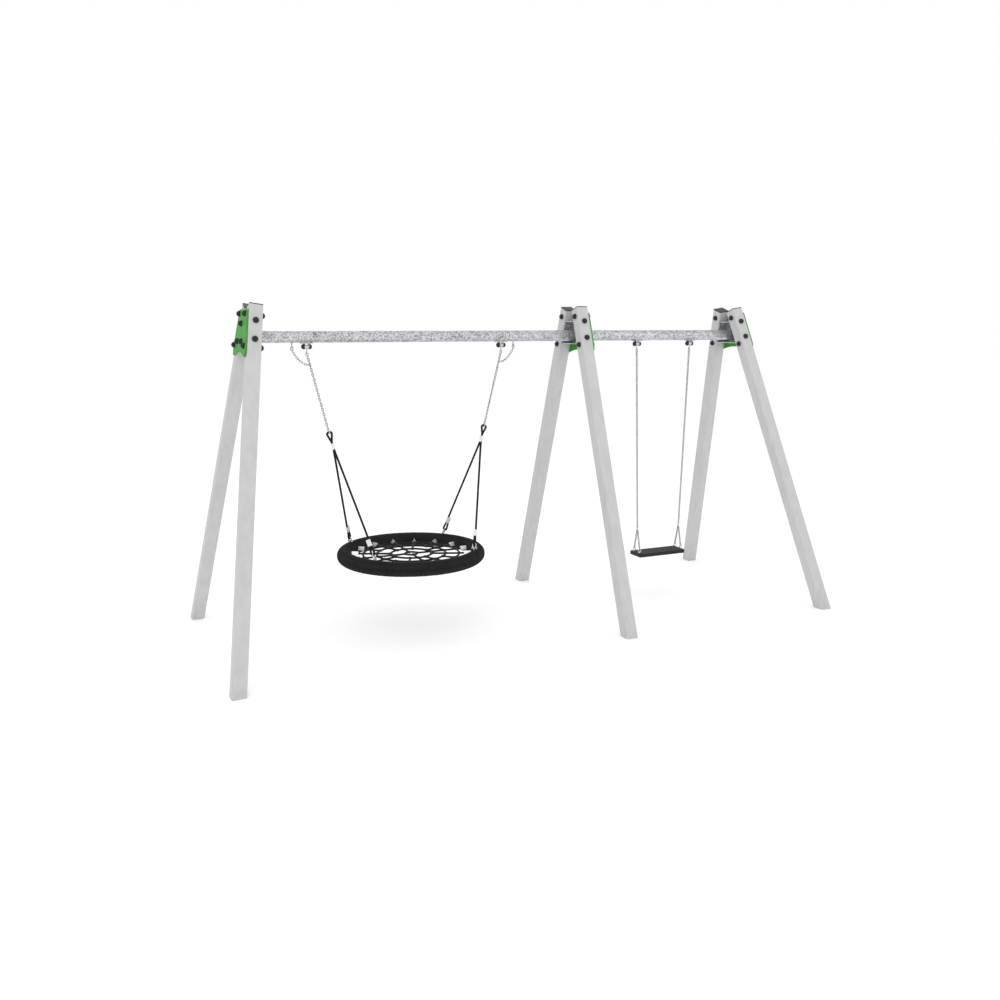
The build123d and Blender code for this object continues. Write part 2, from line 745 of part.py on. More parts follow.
def cord(points, diameter, radii):
    """A round cord along a rounded path."""
    path = rounded(points, radii)
    start = Plane(origin=points[0], z_dir=(points[1] - points[0]).normalized())
    return sweep(start * Circle(diameter / 2), path)


def eye_corners(apex, flat, bend):
    """The two corners that a rope turns at round its eye."""
    reach = EYE_SHOULDER * bend
    return [along(apex, flat, -reach), along(apex, flat, reach)]


def lug_place(side, depth):
    """A lug's axes: z up the rope from the shackle's pin, y round the ring, x across the lug."""
    angle = radians(LUG_ANGLE)
    out = Vector(side * cos(angle), depth * sin(angle), 0)
    tube = Vector(NEST_X, 0, RING_HEIGHT) + out * RING_RADIUS
    way = (rope_exit(side, depth) - tube).normalized()
    tangent = Vector(0, 0, 1).cross(out)
    square_on = (way - tangent * way.dot(tangent)).length
    tangent = (tangent - way * tangent.dot(way)).normalized()
    origin = along(tube, way, (RING_TUBE / 2 + LUG_RISE) / square_on)
    return Plane(origin=origin, x_dir=tangent.cross(way), z_dir=way)


def rope_exit(side, depth):
    """Where a rope strand leaves its top sleeve."""
    apex, way = nest_pull(side)
    return along(apex, way, TOP_EYE_LENGTH + SLEEVE_LENGTH) + ACROSS * (depth * STRAND)


def lower_apex_height():
    """From a shackle's pin up to the rope's centreline at the bottom of its lower eye."""
    return SHACKLE_LEG + SHACKLE_ROOM / 2 - ROPE / 2 - LINK_GAP / 2


def lower_eye_points(side, depth):
    """The rope's corners round a lower eye, from its tail's end to where its leg starts."""
    place = lug_place(side, depth)
    apex = along(place.origin, place.z_dir, lower_apex_height())
    meet = along(apex, place.z_dir, EYE_LENGTH)
    tail, main = along(meet, place.y_dir, -STRAND), along(meet, place.y_dir, STRAND)
    end = along(tail, place.z_dir, SLEEVE_LENGTH - ROPE / 2)
    return [end, tail, *eye_corners(apex, place.y_dir, LOWER_BEND), main]


def rope(side):
    """One side's rope: a lower eye, a leg, the top eye, and the other leg and lower eye."""
    apex, way = nest_pull(side)
    meet = along(apex, way, TOP_EYE_LENGTH)
    ends = [meet + ACROSS * (depth * STRAND) for depth in (-1, 1)]
    front = lower_eye_points(side, -1) + [rope_exit(side, -1), ends[0]]
    rear = [ends[1], rope_exit(side, 1)] + lower_eye_points(side, 1)[::-1]
    points = front + eye_corners(apex, way.cross(ACROSS), ROPE_BEND) + rear
    lower = [LOWER_BEND] * (len(front) - 2)
    return cord(points, ROPE, lower + [ROPE_BEND] * 4 + lower)


def sleeves(side, rope_solid):
    """The pressed sleeves of one side's rope: one above its legs and one at each lower eye."""
    apex, way = nest_pull(side)
    section = SlotOverall(2 * STRAND + SLEEVE, SLEEVE)
    planes = [Plane(origin=along(apex, way, TOP_EYE_LENGTH), x_dir=ACROSS, z_dir=way)]
    for depth in (1, -1):
        at = lug_place(side, depth)
        foot = along(at.origin, at.z_dir, lower_apex_height() + EYE_LENGTH)
        planes.append(Plane(origin=foot, x_dir=at.y_dir, z_dir=at.z_dir))
    made = [plane * extrude(section, SLEEVE_LENGTH) - rope_solid for plane in planes]
    return [solid for piece in made for solid in piece.solids()]


def lug(side, depth):
    """The steel tab on the ring that a shackle's pin goes through."""
    bar = Pos(0, 0, -LUG_RISE) * Box(LUG, LUG_WIDTH, 2 * LUG_RISE)
    tip = Rot(0, 90, 0) * Cylinder(LUG_WIDTH / 2, LUG)
    bore = Rot(0, 90, 0) * Cylinder(SHACKLE_PIN / 2, 2 * LUG)
    ring = Pos(NEST_X, 0, RING_HEIGHT) * Torus(RING_RADIUS, RING_TUBE / 2)
    return lug_place(side, depth).location * (bar + tip - bore) - ring


def lower_shackle():
    """A bow shackle without its pin, about the pin's middle."""
    bend = (SHACKLE_ROOM + SHACKLE_WIRE) / 2
    arch = Torus(bend, SHACKLE_WIRE / 2, major_angle=180, align=None)
    body = Pos(0, 0, SHACKLE_LEG) * Rot(90, 0, 0) * arch
    for x in (-bend, bend):
        leg_bar = Pos(x, 0, SHACKLE_LEG / 2) * Cylinder(SHACKLE_WIRE / 2, SHACKLE_LEG)
        ear = Location((x, 0, 0), (0, 90, 0)) * Cylinder(SHACKLE_EAR / 2, SHACKLE_EAR_SHEET)
        body = body + leg_bar + ear
    return body - Rot(0, 90, 0) * Cylinder(SHACKLE_PIN / 2, 4 * bend)


def shackle_pin():
    """A shackle's pin with a flat head at each end."""
    reach = SHACKLE_ROOM + 2 * SHACKLE_WIRE
    pin = Rot(0, 90, 0) * Cylinder(SHACKLE_PIN / 2, reach)
    for way in (-1, 1):
        x = way * (reach / 2 + SHACKLE_PIN / 4)
        head = Location((x, 0, 0), (0, 90, 0)) * Cylinder(SHACKLE_PIN_HEAD / 2, SHACKLE_PIN / 2)
        pin = pin + head
    return pin


def write_ropes():
    """Writes the ropes, sleeves, lower shackles, pins and lugs."""
    bow, pin = lower_shackle(), shackle_pin()
    pressed, bows, pins, lugs = [], [], [], []
    for name, side in (("left", -1), ("right", 1)):
        made = rope(side)
        single(f"rope_{name}", made)
        pressed += sleeves(side, made)
        for depth in (1, -1):
            at = lug_place(side, depth).location
            bows.append(bow.moved(at))
            pins.append(pin.moved(at))
            lugs += lug(side, depth).solids()
    group("rope_sleeves", pressed)
    group("shackles_ring", bows)
    group("shackle_pins", pins)
    group("ring_lugs", lugs)


# --- nest ring and net --------------------------------------------------------------------------


def ring_layer(outside, inside):
    """A hollow ring layer between two tube diameters."""
    layer = Torus(RING_RADIUS, outside / 2) - Torus(RING_RADIUS, inside / 2)
    return Pos(NEST_X, 0, RING_HEIGHT) * layer


def tied(ring):
    """The anchors that a net ring has its knots in line with, all the way round."""
    quarter = NET_ANCHORS // 4
    return [quarter * turn + tie for turn in range(4) for tie in NET_RINGS[ring].ties]


def net_point(ring, anchor):
    """A knot of a net ring about the nest's centre, in line with an anchor."""
    angle = radians(360 / NET_ANCHORS * anchor)
    radius = NET_RINGS[ring].radius
    return Vector(radius * cos(angle), radius * sin(angle), -NET_DROP)


def turned(piece, anchors):
    """Copies of a piece in the set, one turned to each of the anchors."""
    centre = Location((NEST_X, 0, RING_HEIGHT))
    solid = piece.solid()
    return [solid.moved(centre * Rot(0, 0, 360 / NET_ANCHORS * anchor)) for anchor in anchors]


def net_spoke(ring):
    """A length of net rope from a knot of a ring out to the ring outside it."""
    start, end = net_point(ring - 1, 0), net_point(ring, 0)
    return rod(start, end, NET_ROPE) - ball(start, NET_KNOT) - ball(end, NET_KNOT)


@lru_cache
def net_arc(ring, span):
    """A ring's rope from a knot to one that is a number of anchors further on."""
    turn = 360 / NET_ANCHORS * span
    arc = Torus(NET_RINGS[ring].radius, NET_ROPE / 2, major_angle=turn, align=None)
    arc = Pos(0, 0, -NET_DROP) * arc
    return arc - ball(net_point(ring, 0), NET_KNOT) - ball(net_point(ring, span), NET_KNOT)


def net_arcs(ring):
    """All of a ring's rope, from knot to knot."""
    anchors = tied(ring)
    arcs = []
    for start, end in zip(anchors, anchors[1:] + [anchors[0] + NET_ANCHORS]):
        arcs += turned(net_arc(ring, end - start), [start])
    return arcs


def net_anchor():
    """The rope from the ring's inner side in to an outer knot."""
    knot = net_point(0, 0)
    start = Vector(RING_RADIUS, 0, -NET_DROP)
    return rod(start, knot, NET_ROPE) - Torus(RING_RADIUS, RING_TUBE / 2) - ball(knot, NET_KNOT)


def net_ropes():
    """Every length of the net's rope: anchors, rings and spokes."""
    ropes = turned(net_anchor(), range(NET_ANCHORS)) + net_arcs(0)
    for ring in range(1, len(NET_RINGS)):
        ropes += turned(net_spoke(ring), tied(ring)) + net_arcs(ring)
    return ropes


def net_knots():
    """The moulded knots where the net's ropes meet."""
    knots = []
    for ring in range(len(NET_RINGS)):
        knots += turned(ball(net_point(ring, 0), NET_KNOT), tied(ring))
    return knots


def net_clamps():
    """The three-sided aluminium clamps that hold the net's ends on the ring's inner side."""
    inner = RING_RADIUS - RING_TUBE / 2
    foot = -NET_DROP - NET_CLAMP_FOOT
    corners = [(-NET_CLAMP / 2, foot), (NET_CLAMP / 2, foot), (0, foot + NET_CLAMP)]
    section = Plane.YZ * make_face(Polyline(*corners, close=True))
    body = Pos(inner - NET_CLAMP_LENGTH, 0, 0) * extrude(section, NET_CLAMP_LENGTH + NET_CLAMP)
    body = fillet(body.edges().filter_by(Axis.X), NET_CLAMP_ROUND)
    return turned(body - Torus(RING_RADIUS, RING_TUBE / 2) - net_anchor(), range(NET_ANCHORS))


def write_nest():
    """Writes the nest's ring, net and clamps."""
    padding = RING_TUBE - 2 * RING_WRAP
    single("ring_core", ring_layer(RING_CORE, RING_CORE - 2 * RING_CORE_WALL))
    single("ring_padding", ring_layer(padding, RING_CORE))
    single("ring_wrap", ring_layer(RING_TUBE, padding))
    group("net_ropes", net_ropes())
    group("net_knots", net_knots())
    group("net_clamps", net_clamps())


# --- flat seat ----------------------------------------------------------------------------------


def apex_centre(side):
    """The middle of an apex link's lower bend, which the seat rocks about."""
    return Vector(SEAT_X + side * SEAT_EYE_X, 0, APEX_HEIGHT)


def seat_run(side):
    """A flat seat's main chain and its apex link."""
    centre = apex_centre(side)
    eye = hanger_eye(SEAT_X + side * SEAT_HANGER)
    way = (centre - eye).normalized()
    bottom = along(centre, way, APEX_ROOM / 2 - LINK_GAP / 2)
    end = along(bottom, way, -APEX_PITCH)
    run = straight_chain(eye, end)
    return run, link_between(end, bottom, APEX_WIRE, APEX_ROOM, ACROSS)


def seat_eye_wire(side, depth):
    """The wire's middle at the top of a seat eye."""
    rise = SEAT_EYE_RISE + SEAT_EYE_ROOM + EYE_WIRE / 2
    return Vector(SEAT_X + side * SEAT_EYE_X, depth * SEAT_EYE_Y, SEAT_TOP + rise)


def spread_chain(side, depth):
    """One of the short chains from an apex link to the seat, hung beside its twin."""
    reach = (APEX_ROOM - CHAIN_WIRE - LINK_GAP) / 2
    beside = (CHAIN_WIRE + LINK_GAP) / 2
    drop = (reach**2 - beside**2) ** 0.5
    first = apex_centre(side) + Vector(0, depth * beside, -drop)
    last = seat_eye_wire(side, depth)
    way = (last - first).normalized()
    start = along(first, way, CHAIN_WIRE / 2 + LINK_GAP / 2)
    end = along(last, way, EYE_WIRE / 2 + LINK_GAP / 2)
    count = even_count((end - start).length, CHAIN_PITCH)
    step = (end - start).length / count
    links = []
    for i in range(count):
        near, far = along(start, way, step * i), along(start, way, step * (i + 1))
        width_way = Vector(1, 0, 0) if i % 2 == 0 else ACROSS
        links.append(link_between(near, far, CHAIN_WIRE, CHAIN_ROOM, width_way))
    return links


def seat_insert():
    """The steel plate moulded inside the seat."""
    length = SEAT_LENGTH - 2 * SEAT_INSERT_MARGIN
    width = SEAT_WIDTH - 2 * SEAT_INSERT_MARGIN
    board = extrude(RectangleRounded(length, width, SEAT_CORNER / 2), SEAT_INSERT)
    height = SEAT_TOP - (SEAT_THICKNESS + SEAT_INSERT) / 2
    return Pos(SEAT_X, 0, height) * board


def seat_eye(side, depth):
    """A seat eye: a ring on a collar, with its stem down to the insert."""
    x, y = SEAT_X + side * SEAT_EYE_X, depth * SEAT_EYE_Y
    ring = Rot(90, 0, 0) * Torus(SEAT_EYE_ROOM + EYE_WIRE / 2, EYE_WIRE / 2)
    ring = Pos(x, y, SEAT_TOP + SEAT_EYE_RISE) * ring
    collar = Pos(x, y, SEAT_TOP) * extrude(Circle(SEAT_EYE_COLLAR / 2), SEAT_EYE_COLLAR_RISE)
    bottom = SEAT_TOP - (SEAT_THICKNESS - SEAT_INSERT) / 2
    stem = Pos(x, y, bottom) * extrude(Circle(SEAT_EYE_STEM / 2), SEAT_TOP - bottom)
    return ring + collar + stem


def seat_pad(cut):
    """The moulded rubber seat around its insert and the eyes' stems."""
    block = extrude(RectangleRounded(SEAT_LENGTH, SEAT_WIDTH, SEAT_CORNER), SEAT_THICKNESS)
    rims = block.faces().sort_by(Axis.Z)
    block = fillet(rims[0].edges() + rims[-1].edges(), SEAT_ROUND)
    block = Pos(SEAT_X, 0, SEAT_TOP - SEAT_THICKNESS) * block
    for piece in cut:
        block -= piece
    return block


def write_seat():
    """Writes the flat seat, its eyes and its chains."""
    apex_links = []
    for name, side in (("left", -1), ("right", 1)):
        run, apex = seat_run(side)
        apex_links.append(apex)
        group(f"chain_seat_{name}", run.links)
        group(f"chain_spread_{name}", spread_chain(side, 1) + spread_chain(side, -1))
    group("apex_links", apex_links)
    eyes = [seat_eye(side, depth) for side in (-1, 1) for depth in (1, -1)]
    insert = seat_insert()
    group("seat_eyes", eyes)
    single("seat_insert", insert)
    single("seat_pad", seat_pad([insert, *eyes]))


write_frames()
write_frame_bolts()
write_hangers()
write_nest_chains()
write_ropes()
write_nest()
write_seat()
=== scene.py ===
"""Looks of the double swing set: finishes, cords, chains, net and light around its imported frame.

The frame gives every place: the joints give the pivots and the nodes' boxes give the ring, the
eyes and the seat. Lengths are in metres, X runs along the beams, Y across them and Z up.
"""

import json
import logging
from dataclasses import dataclass, field
from enum import Enum
from math import cos, pi, radians, sin

import bpy
import numpy as np
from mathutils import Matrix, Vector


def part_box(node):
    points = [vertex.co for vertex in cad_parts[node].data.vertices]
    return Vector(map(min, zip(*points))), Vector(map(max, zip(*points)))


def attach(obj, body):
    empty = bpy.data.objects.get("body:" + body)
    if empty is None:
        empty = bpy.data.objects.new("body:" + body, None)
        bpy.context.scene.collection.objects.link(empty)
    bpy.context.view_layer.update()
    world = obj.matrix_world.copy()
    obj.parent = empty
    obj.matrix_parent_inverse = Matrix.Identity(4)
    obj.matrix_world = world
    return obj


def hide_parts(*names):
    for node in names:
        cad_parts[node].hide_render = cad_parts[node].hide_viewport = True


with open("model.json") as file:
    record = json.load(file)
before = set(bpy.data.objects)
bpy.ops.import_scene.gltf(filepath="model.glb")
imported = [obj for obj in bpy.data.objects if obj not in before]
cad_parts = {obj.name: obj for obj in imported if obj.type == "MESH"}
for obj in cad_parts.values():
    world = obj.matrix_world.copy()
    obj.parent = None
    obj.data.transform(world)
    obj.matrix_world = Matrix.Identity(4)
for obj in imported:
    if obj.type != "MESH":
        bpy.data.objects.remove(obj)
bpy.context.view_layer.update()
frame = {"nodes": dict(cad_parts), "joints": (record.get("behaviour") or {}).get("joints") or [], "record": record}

LOG = logging.getLogger("swing_set")
Colour = tuple[float, float, float]

ACROSS = np.array([0.0, 1.0, 0.0])
UP = np.array([0.0, 0.0, 1.0])
SIDES = (("left", -1), ("right", 1))
SEED = 20
LAY_DEPTH = 0.09


class Body(Enum):
    """The moving bodies that new pieces ride on."""

    NEST_SWING = "nest_swing"
    BASKET = "nest_basket"
    SEAT_SWING = "seat_swing"
    SEAT = "seat"


# --- geometry -------------------------------------------------------------------------------------


def unit(vector: np.ndarray) -> np.ndarray:
    """Vectors of length one, whatever the leading shape."""
    return vector / np.linalg.norm(vector, axis=-1, keepdims=True)


def joint_place(name: str) -> np.ndarray:
    """The point that a joint turns about, in metres."""
    return next(np.array(j["pos_m"], float) for j in frame["joints"] if j["name"] == name)


def node_box(name: str) -> tuple[np.ndarray, np.ndarray]:
    """A node's lowest and highest corners, in metres."""
    low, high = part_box(name)
    return np.array(low), np.array(high)


def patch_faces(rows: int, columns: int, close_rows: bool) -> tuple[np.ndarray, np.ndarray]:
    """The quads of one grid whose columns close on themselves.

    Args:
        rows: points along the grid.
        columns: points around it.
        close_rows: whether the last row joins the first.

    Returns:
        Each quad's four point numbers, and each corner's row and column before they wrap.
    """
    spans = rows if close_rows else rows - 1
    row, column = np.meshgrid(np.arange(spans), np.arange(columns), indexing="ij")
    corners = np.stack([row, row + 1, row + 1, row], -1), np.stack(
        [column, column, column + 1, column + 1], -1
    )
    numbers = corners[0] % rows * columns + corners[1] % columns
    return numbers.reshape(-1, 4), np.stack(corners, -1).reshape(-1, 4, 2)


def tube_object(name: str, patches: list[np.ndarray], close_rows: bool) -> bpy.types.Object:
    """Makes one object from tube-shaped grids, with lengths along the first UV axis.

    Each grid is (rows, columns, 3). The UV map's first axis is the distance along the rows'
    middle in metres and its second goes once around from 0 to 1. Open ends get a flat cap.

    Args:
        name: the object's name.
        patches: the grids of points.
        close_rows: whether every grid's last row joins its first.

    Returns:
        The new object, at the origin.
    """
    points, faces, maps, start = [], [], [], 0
    for grid in patches:
        rows, columns = grid.shape[:2]
        quads, corners = patch_faces(rows, columns, close_rows)
        middle = grid.mean(axis=1)
        ring = np.vstack([middle, middle[:1]])
        steps = np.linalg.norm(np.diff(ring, axis=0), axis=1)
        along = np.concatenate([[0.0], np.cumsum(steps)])
        maps.append(np.stack([along[corners[..., 0]], corners[..., 1] / columns], -1).reshape(-1, 2))
        faces += (quads + start).tolist()
        if not close_rows:
            first = np.arange(columns)
            faces.append((first + start).tolist())
            faces.append((first[::-1] + start + (rows - 1) * columns).tolist())
            maps.append(np.tile([0.0, 0.0], (2 * columns, 1)))
        points.append(grid.reshape(-1, 3))
        start += rows * columns
    mesh = bpy.data.meshes.new(name)
    mesh.from_pydata(np.vstack(points).tolist(), [], faces)
    layer = mesh.uv_layers.new(name="along")
    layer.data.foreach_set("uv", np.vstack(maps).astype(np.float32).ravel())
    mesh.polygons.foreach_set("use_smooth", np.ones(len(mesh.polygons), bool))
    made = bpy.data.objects.new(name, mesh)
    bpy.context.scene.collection.objects.link(made)
    return made


def outward(made: bpy.types.Object) -> None:
    """Turns an object's faces outwards, when its signed volume says that they point in."""
    mesh = made.data
    mesh.calc_loop_triangles()
    corners = np.empty(len(mesh.loop_triangles) * 3, np.int32)
    mesh.loop_triangles.foreach_get("vertices", corners)
    places = np.empty(len(mesh.vertices) * 3)
    mesh.vertices.foreach_get("co", places)
    a, b, c = places.reshape(-1, 3)[corners.reshape(-1, 3)].transpose(1, 0, 2)
    if np.einsum("ij,ij->i", a, np.cross(b, c)).sum() < 0:
        mesh.flip_normals()


def swept(line: np.ndarray, reference: np.ndarray, radius: np.ndarray) -> np.ndarray:
    """A tube about a line: the line's point plus radius times a turning unit normal.

    The normal at angle a is cos(a) times the line's side vector plus sin(a) times its rise vector,
    where the side vector is the tangent crossed with a reference that the line never runs along.

    Args:
        line: (rows, 3) points of the middle.
        reference: the fixed reference vector.
        radius: (rows, columns) radius at every point.

    Returns:
        (rows, columns, 3) points.
    """
    tangent = unit(np.gradient(line, axis=0))
    side = unit(np.cross(tangent, reference))
    rise = np.cross(tangent, side)
    angle = np.linspace(0, 2 * pi, radius.shape[1], endpoint=False)
    normal = np.cos(angle)[None, :, None] * side[:, None] + np.sin(angle)[None, :, None] * rise[:, None]
    return line[:, None] + radius[..., None] * normal


def laid_radius(rows: np.ndarray, columns: int, radius: float, strands: int, lay: float) -> np.ndarray:
    """A laid rope's radius: full on each strand's crown and lower in the grooves between them.

    It falls by a share of 1 - |cos(strands / 2 * (angle - turn))|, where turn grows by one whole
    circle in each length of lay.

    Args:
        rows: distance along the rope of each row.
        columns: points around it.
        radius: the rope's outer radius.
        strands: how many strands are laid together.
        lay: the length of one turn.

    Returns:
        (rows, columns) radius.
    """
    angle = np.linspace(0, 2 * pi, columns, endpoint=False)[None, :]
    turn = 2 * pi * rows[:, None] / lay
    groove = 1 - np.abs(np.cos(strands / 2 * (angle - turn)))
    return radius * (1 - LAY_DEPTH * groove)


def even_line(points: np.ndarray, step: float) -> tuple[np.ndarray, np.ndarray]:
    """A line's points spaced evenly, by interpolating each coordinate over its length.

    Args:
        points: (n, 3) points of the line.
        step: the spacing wanted.

    Returns:
        The new points and their distances along the line.
    """
    steps = np.linalg.norm(np.diff(points, axis=0), axis=1)
    reached = np.concatenate([[0.0], np.cumsum(steps)])
    along = np.linspace(0, reached[-1], max(3, int(reached[-1] / step) + 1))
    spaced = np.stack([np.interp(along, reached, points[:, i]) for i in range(3)], -1)
    return spaced, along


def smooth_route(points: list[np.ndarray]) -> np.ndarray:
    """The points of a NURBS line of order three whose control points are a route's points."""
    data = bpy.data.curves.new("route", "CURVE")
    data.dimensions = "3D"
    data.resolution_u = 10
    spline = data.splines.new("NURBS")
    spline.points.add(len(points) - 1)
    spline.points.foreach_set("co", np.hstack([np.array(points), np.ones((len(points), 1))]).ravel())
    spline.order_u = 3
    spline.use_endpoint_u = True
    holder = bpy.data.objects.new("route", data)
    mesh = bpy.data.meshes.new_from_object(holder)
    line = np.empty(len(mesh.vertices) * 3)
    mesh.vertices.foreach_get("co", line)
    bpy.data.objects.remove(holder)
    bpy.data.curves.remove(data)
    bpy.data.meshes.remove(mesh)
    return line.reshape(-1, 3)


# --- finishes -------------------------------------------------------------------------------------


class Graph:
    """A material's nodes, with short ways to add and join them."""

    def __init__(self, name: str) -> None:
        """Starts an empty material with a Principled shader."""
        self.material = bpy.data.materials.new(name)
        self.material.use_nodes = True
        self.tree = self.material.node_tree
        self.shader = self.tree.nodes["Principled BSDF"]
        self.coordinates = self.add("ShaderNodeTexCoord")

    def add(self, kind: str, **settings: object) -> bpy.types.Node:
        """Adds a node and sets its properties."""
        node = self.tree.nodes.new(kind)
        for key, value in settings.items():
            setattr(node, key, value)
        return node

    def join(self, source: bpy.types.NodeSocket, target: bpy.types.NodeSocket) -> None:
        """Joins an output to an input."""
        self.tree.links.new(source, target)

    def place(self, scale: Colour, uv: bool = False) -> bpy.types.NodeSocket:
        """Coordinates in metres, or along the piece's own UV map, stretched by a scale."""
        mapping = self.add("ShaderNodeMapping")
        mapping.inputs["Scale"].default_value = scale
        self.join(self.coordinates.outputs["UV" if uv else "Object"], mapping.inputs["Vector"])
        return mapping.outputs["Vector"]

    def noise(self, where: bpy.types.NodeSocket, scale: float, detail: float = 3) -> bpy.types.NodeSocket:
        """Noise of a scale in cells to the metre, about 0.3 to 0.7."""
        node = self.add("ShaderNodeTexNoise")
        node.inputs["Scale"].default_value = scale
        node.inputs["Detail"].default_value = detail
        self.join(where, node.inputs["Vector"])
        return node.outputs["Fac"]

    def cells(self, where: bpy.types.NodeSocket, scale: float, output: str = "Color") -> bpy.types.NodeSocket:
        """Voronoi cells, as one random value in each or as the distance from its middle."""
        node = self.add("ShaderNodeTexVoronoi")
        node.inputs["Scale"].default_value = scale
        self.join(where, node.inputs["Vector"])
        return node.outputs[output]

    def math(self, kind: str, first: object, second: object = 0.0) -> bpy.types.NodeSocket:
        """A sum or other operation on sockets or numbers."""
        node = self.add("ShaderNodeMath", operation=kind)
        for value, socket in zip((first, second), node.inputs):
            if isinstance(value, (int, float)):
                socket.default_value = value
            else:
                self.join(value, socket)
        return node.outputs[0]

    def spread(self, value: bpy.types.NodeSocket, low: float, high: float, to: tuple[float, float]) -> bpy.types.NodeSocket:
        """Stretches the range low to high of a value onto another, clamped."""
        node = self.add("ShaderNodeMapRange")
        self.join(value, node.inputs["Value"])
        settings = {"From Min": low, "From Max": high, "To Min": to[0], "To Max": to[1]}
        for key, number in settings.items():
            node.inputs[key].default_value = number
        return node.outputs["Result"]

    def ramp(self, value: bpy.types.NodeSocket, stops: tuple[tuple[float, Colour], ...]) -> bpy.types.NodeSocket:
        """A colour ramp over a value."""
        node = self.add("ShaderNodeValToRGB")
        elements = node.color_ramp.elements
        while len(elements) < len(stops):
            elements.new(0.5)
        for element, (position, colour) in zip(elements, stops):
            element.position = position
            element.color = (*colour, 1.0)
        self.join(value, node.inputs["Fac"])
        return node.outputs["Color"]

    def mix(self, share: object, first: bpy.types.NodeSocket, second: object) -> bpy.types.NodeSocket:
        """A mix of two colours by a share."""
        node = self.add("ShaderNodeMix", data_type="RGBA")
        for value, socket in ((share, node.inputs[0]), (first, node.inputs[6]), (second, node.inputs[7])):
            if isinstance(value, bpy.types.NodeSocket):
                self.join(value, socket)
            else:
                socket.default_value = value if isinstance(value, float) else (*value, 1.0)
        return node.outputs[2]

    def bump(self, height: bpy.types.NodeSocket, depth: float, strength: float = 1.0, edge: float = 0.0) -> None:
        """Sends a height to the shader's normal, over edges softened by a bevel radius."""
        node = self.add("ShaderNodeBump")
        node.inputs["Strength"].default_value = strength
        node.inputs["Distance"].default_value = depth
        self.join(height, node.inputs["Height"])
        if edge:
            bevel = self.add("ShaderNodeBevel", samples=4)
            bevel.inputs["Radius"].default_value = edge
            self.join(bevel.outputs[0], node.inputs["Normal"])
        self.join(node.outputs["Normal"], self.shader.inputs["Normal"])

    # Edge mask for lighter edges: partly edge wear, partly a painted highlight along rounded edges.
    def edge_wear_and_highlight(self, radius: float) -> bpy.types.NodeSocket:
        """How far a point's softened normal turns from its face's, 0 on a flat and 1 at an edge."""
        bevel = self.add("ShaderNodeBevel", samples=4)
        bevel.inputs["Radius"].default_value = radius
        geometry = self.add("ShaderNodeNewGeometry")
        turn = self.add("ShaderNodeVectorMath", operation="DOT_PRODUCT")
        self.join(bevel.outputs[0], turn.inputs[0])
        self.join(geometry.outputs["Normal"], turn.inputs[1])
        return self.spread(turn.outputs["Value"], 0.99, 0.8, (0.0, 1.0))


@dataclass(frozen=True)
class Finish:
    """A finish: its name, its darkest and lightest colour, and its shader's plain numbers."""

    name: str
    dark: Colour
    light: Colour
    metallic: float = 0.0
    specular: float = 0.5
    sheen: float = 0.0
    coat: float = 0.0

    def start(self) -> Graph:
        """A graph with the shader's plain numbers set."""
        graph = Graph(self.name)
        numbers = {
            "Metallic": self.metallic,
            "Specular IOR Level": self.specular,
            "Sheen Weight": self.sheen,
            "Coat Weight": self.coat,
        }
        for key, value in numbers.items():
            graph.shader.inputs[key].default_value = value
        return graph

    def colour(self, graph: Graph, value: bpy.types.NodeSocket, low: float, high: float) -> bpy.types.NodeSocket:
        """The finish's colours spread over a value."""
        return graph.ramp(value, ((low, self.dark), (high, self.light)))

    def build(self) -> bpy.types.Material:
        """Makes the material."""
        raise NotImplementedError


@dataclass(frozen=True)
class PowderCoat(Finish):
    """Satin powder coat on a drawn tube: faint lengthwise streaks, orange peel and edges painted lighter, partly as
    wear and partly as a painted highlight.
    """

    def build(self) -> bpy.types.Material:
        """Makes the material."""
        graph = self.start()
        streaks = graph.noise(graph.place((30.0, 30.0, 1.2)), 1.0, 5)
        clouds = graph.noise(graph.place((1.0, 1.0, 1.0)), 5.0, 4)
        tone = graph.math("ADD", graph.math("MULTIPLY", streaks, 0.6), graph.math("MULTIPLY", clouds, 0.4))
        base = self.colour(graph, tone, 0.36, 0.62)
        height = graph.add("ShaderNodeSeparateXYZ")
        graph.join(graph.coordinates.outputs["Object"], height.inputs[0])
        low_down = graph.spread(height.outputs["Z"], 0.28, 0.0, (0.0, 1.0))
        splashes = graph.spread(graph.noise(graph.place((1, 1, 0.5)), 26.0, 6), 0.45, 0.66, (0.0, 0.4))
        soiled = graph.mix(graph.math("MULTIPLY", low_down, splashes), base, (0.36, 0.34, 0.31))
        # edges painted lighter: partly worn paint, partly a painted highlight on the rounded corners
        edge = graph.math("MULTIPLY", graph.edge_wear_and_highlight(0.0022), 0.35)
        graph.join(graph.mix(edge, soiled, (0.78, 0.78, 0.78)), graph.shader.inputs["Base Color"])
        graph.join(graph.spread(clouds, 0.3, 0.7, (0.38, 0.5)), graph.shader.inputs["Roughness"])
        graph.bump(graph.noise(graph.place((1, 1, 1)), 520.0, 2), 0.0002, 0.35, 0.002)
        return graph.material


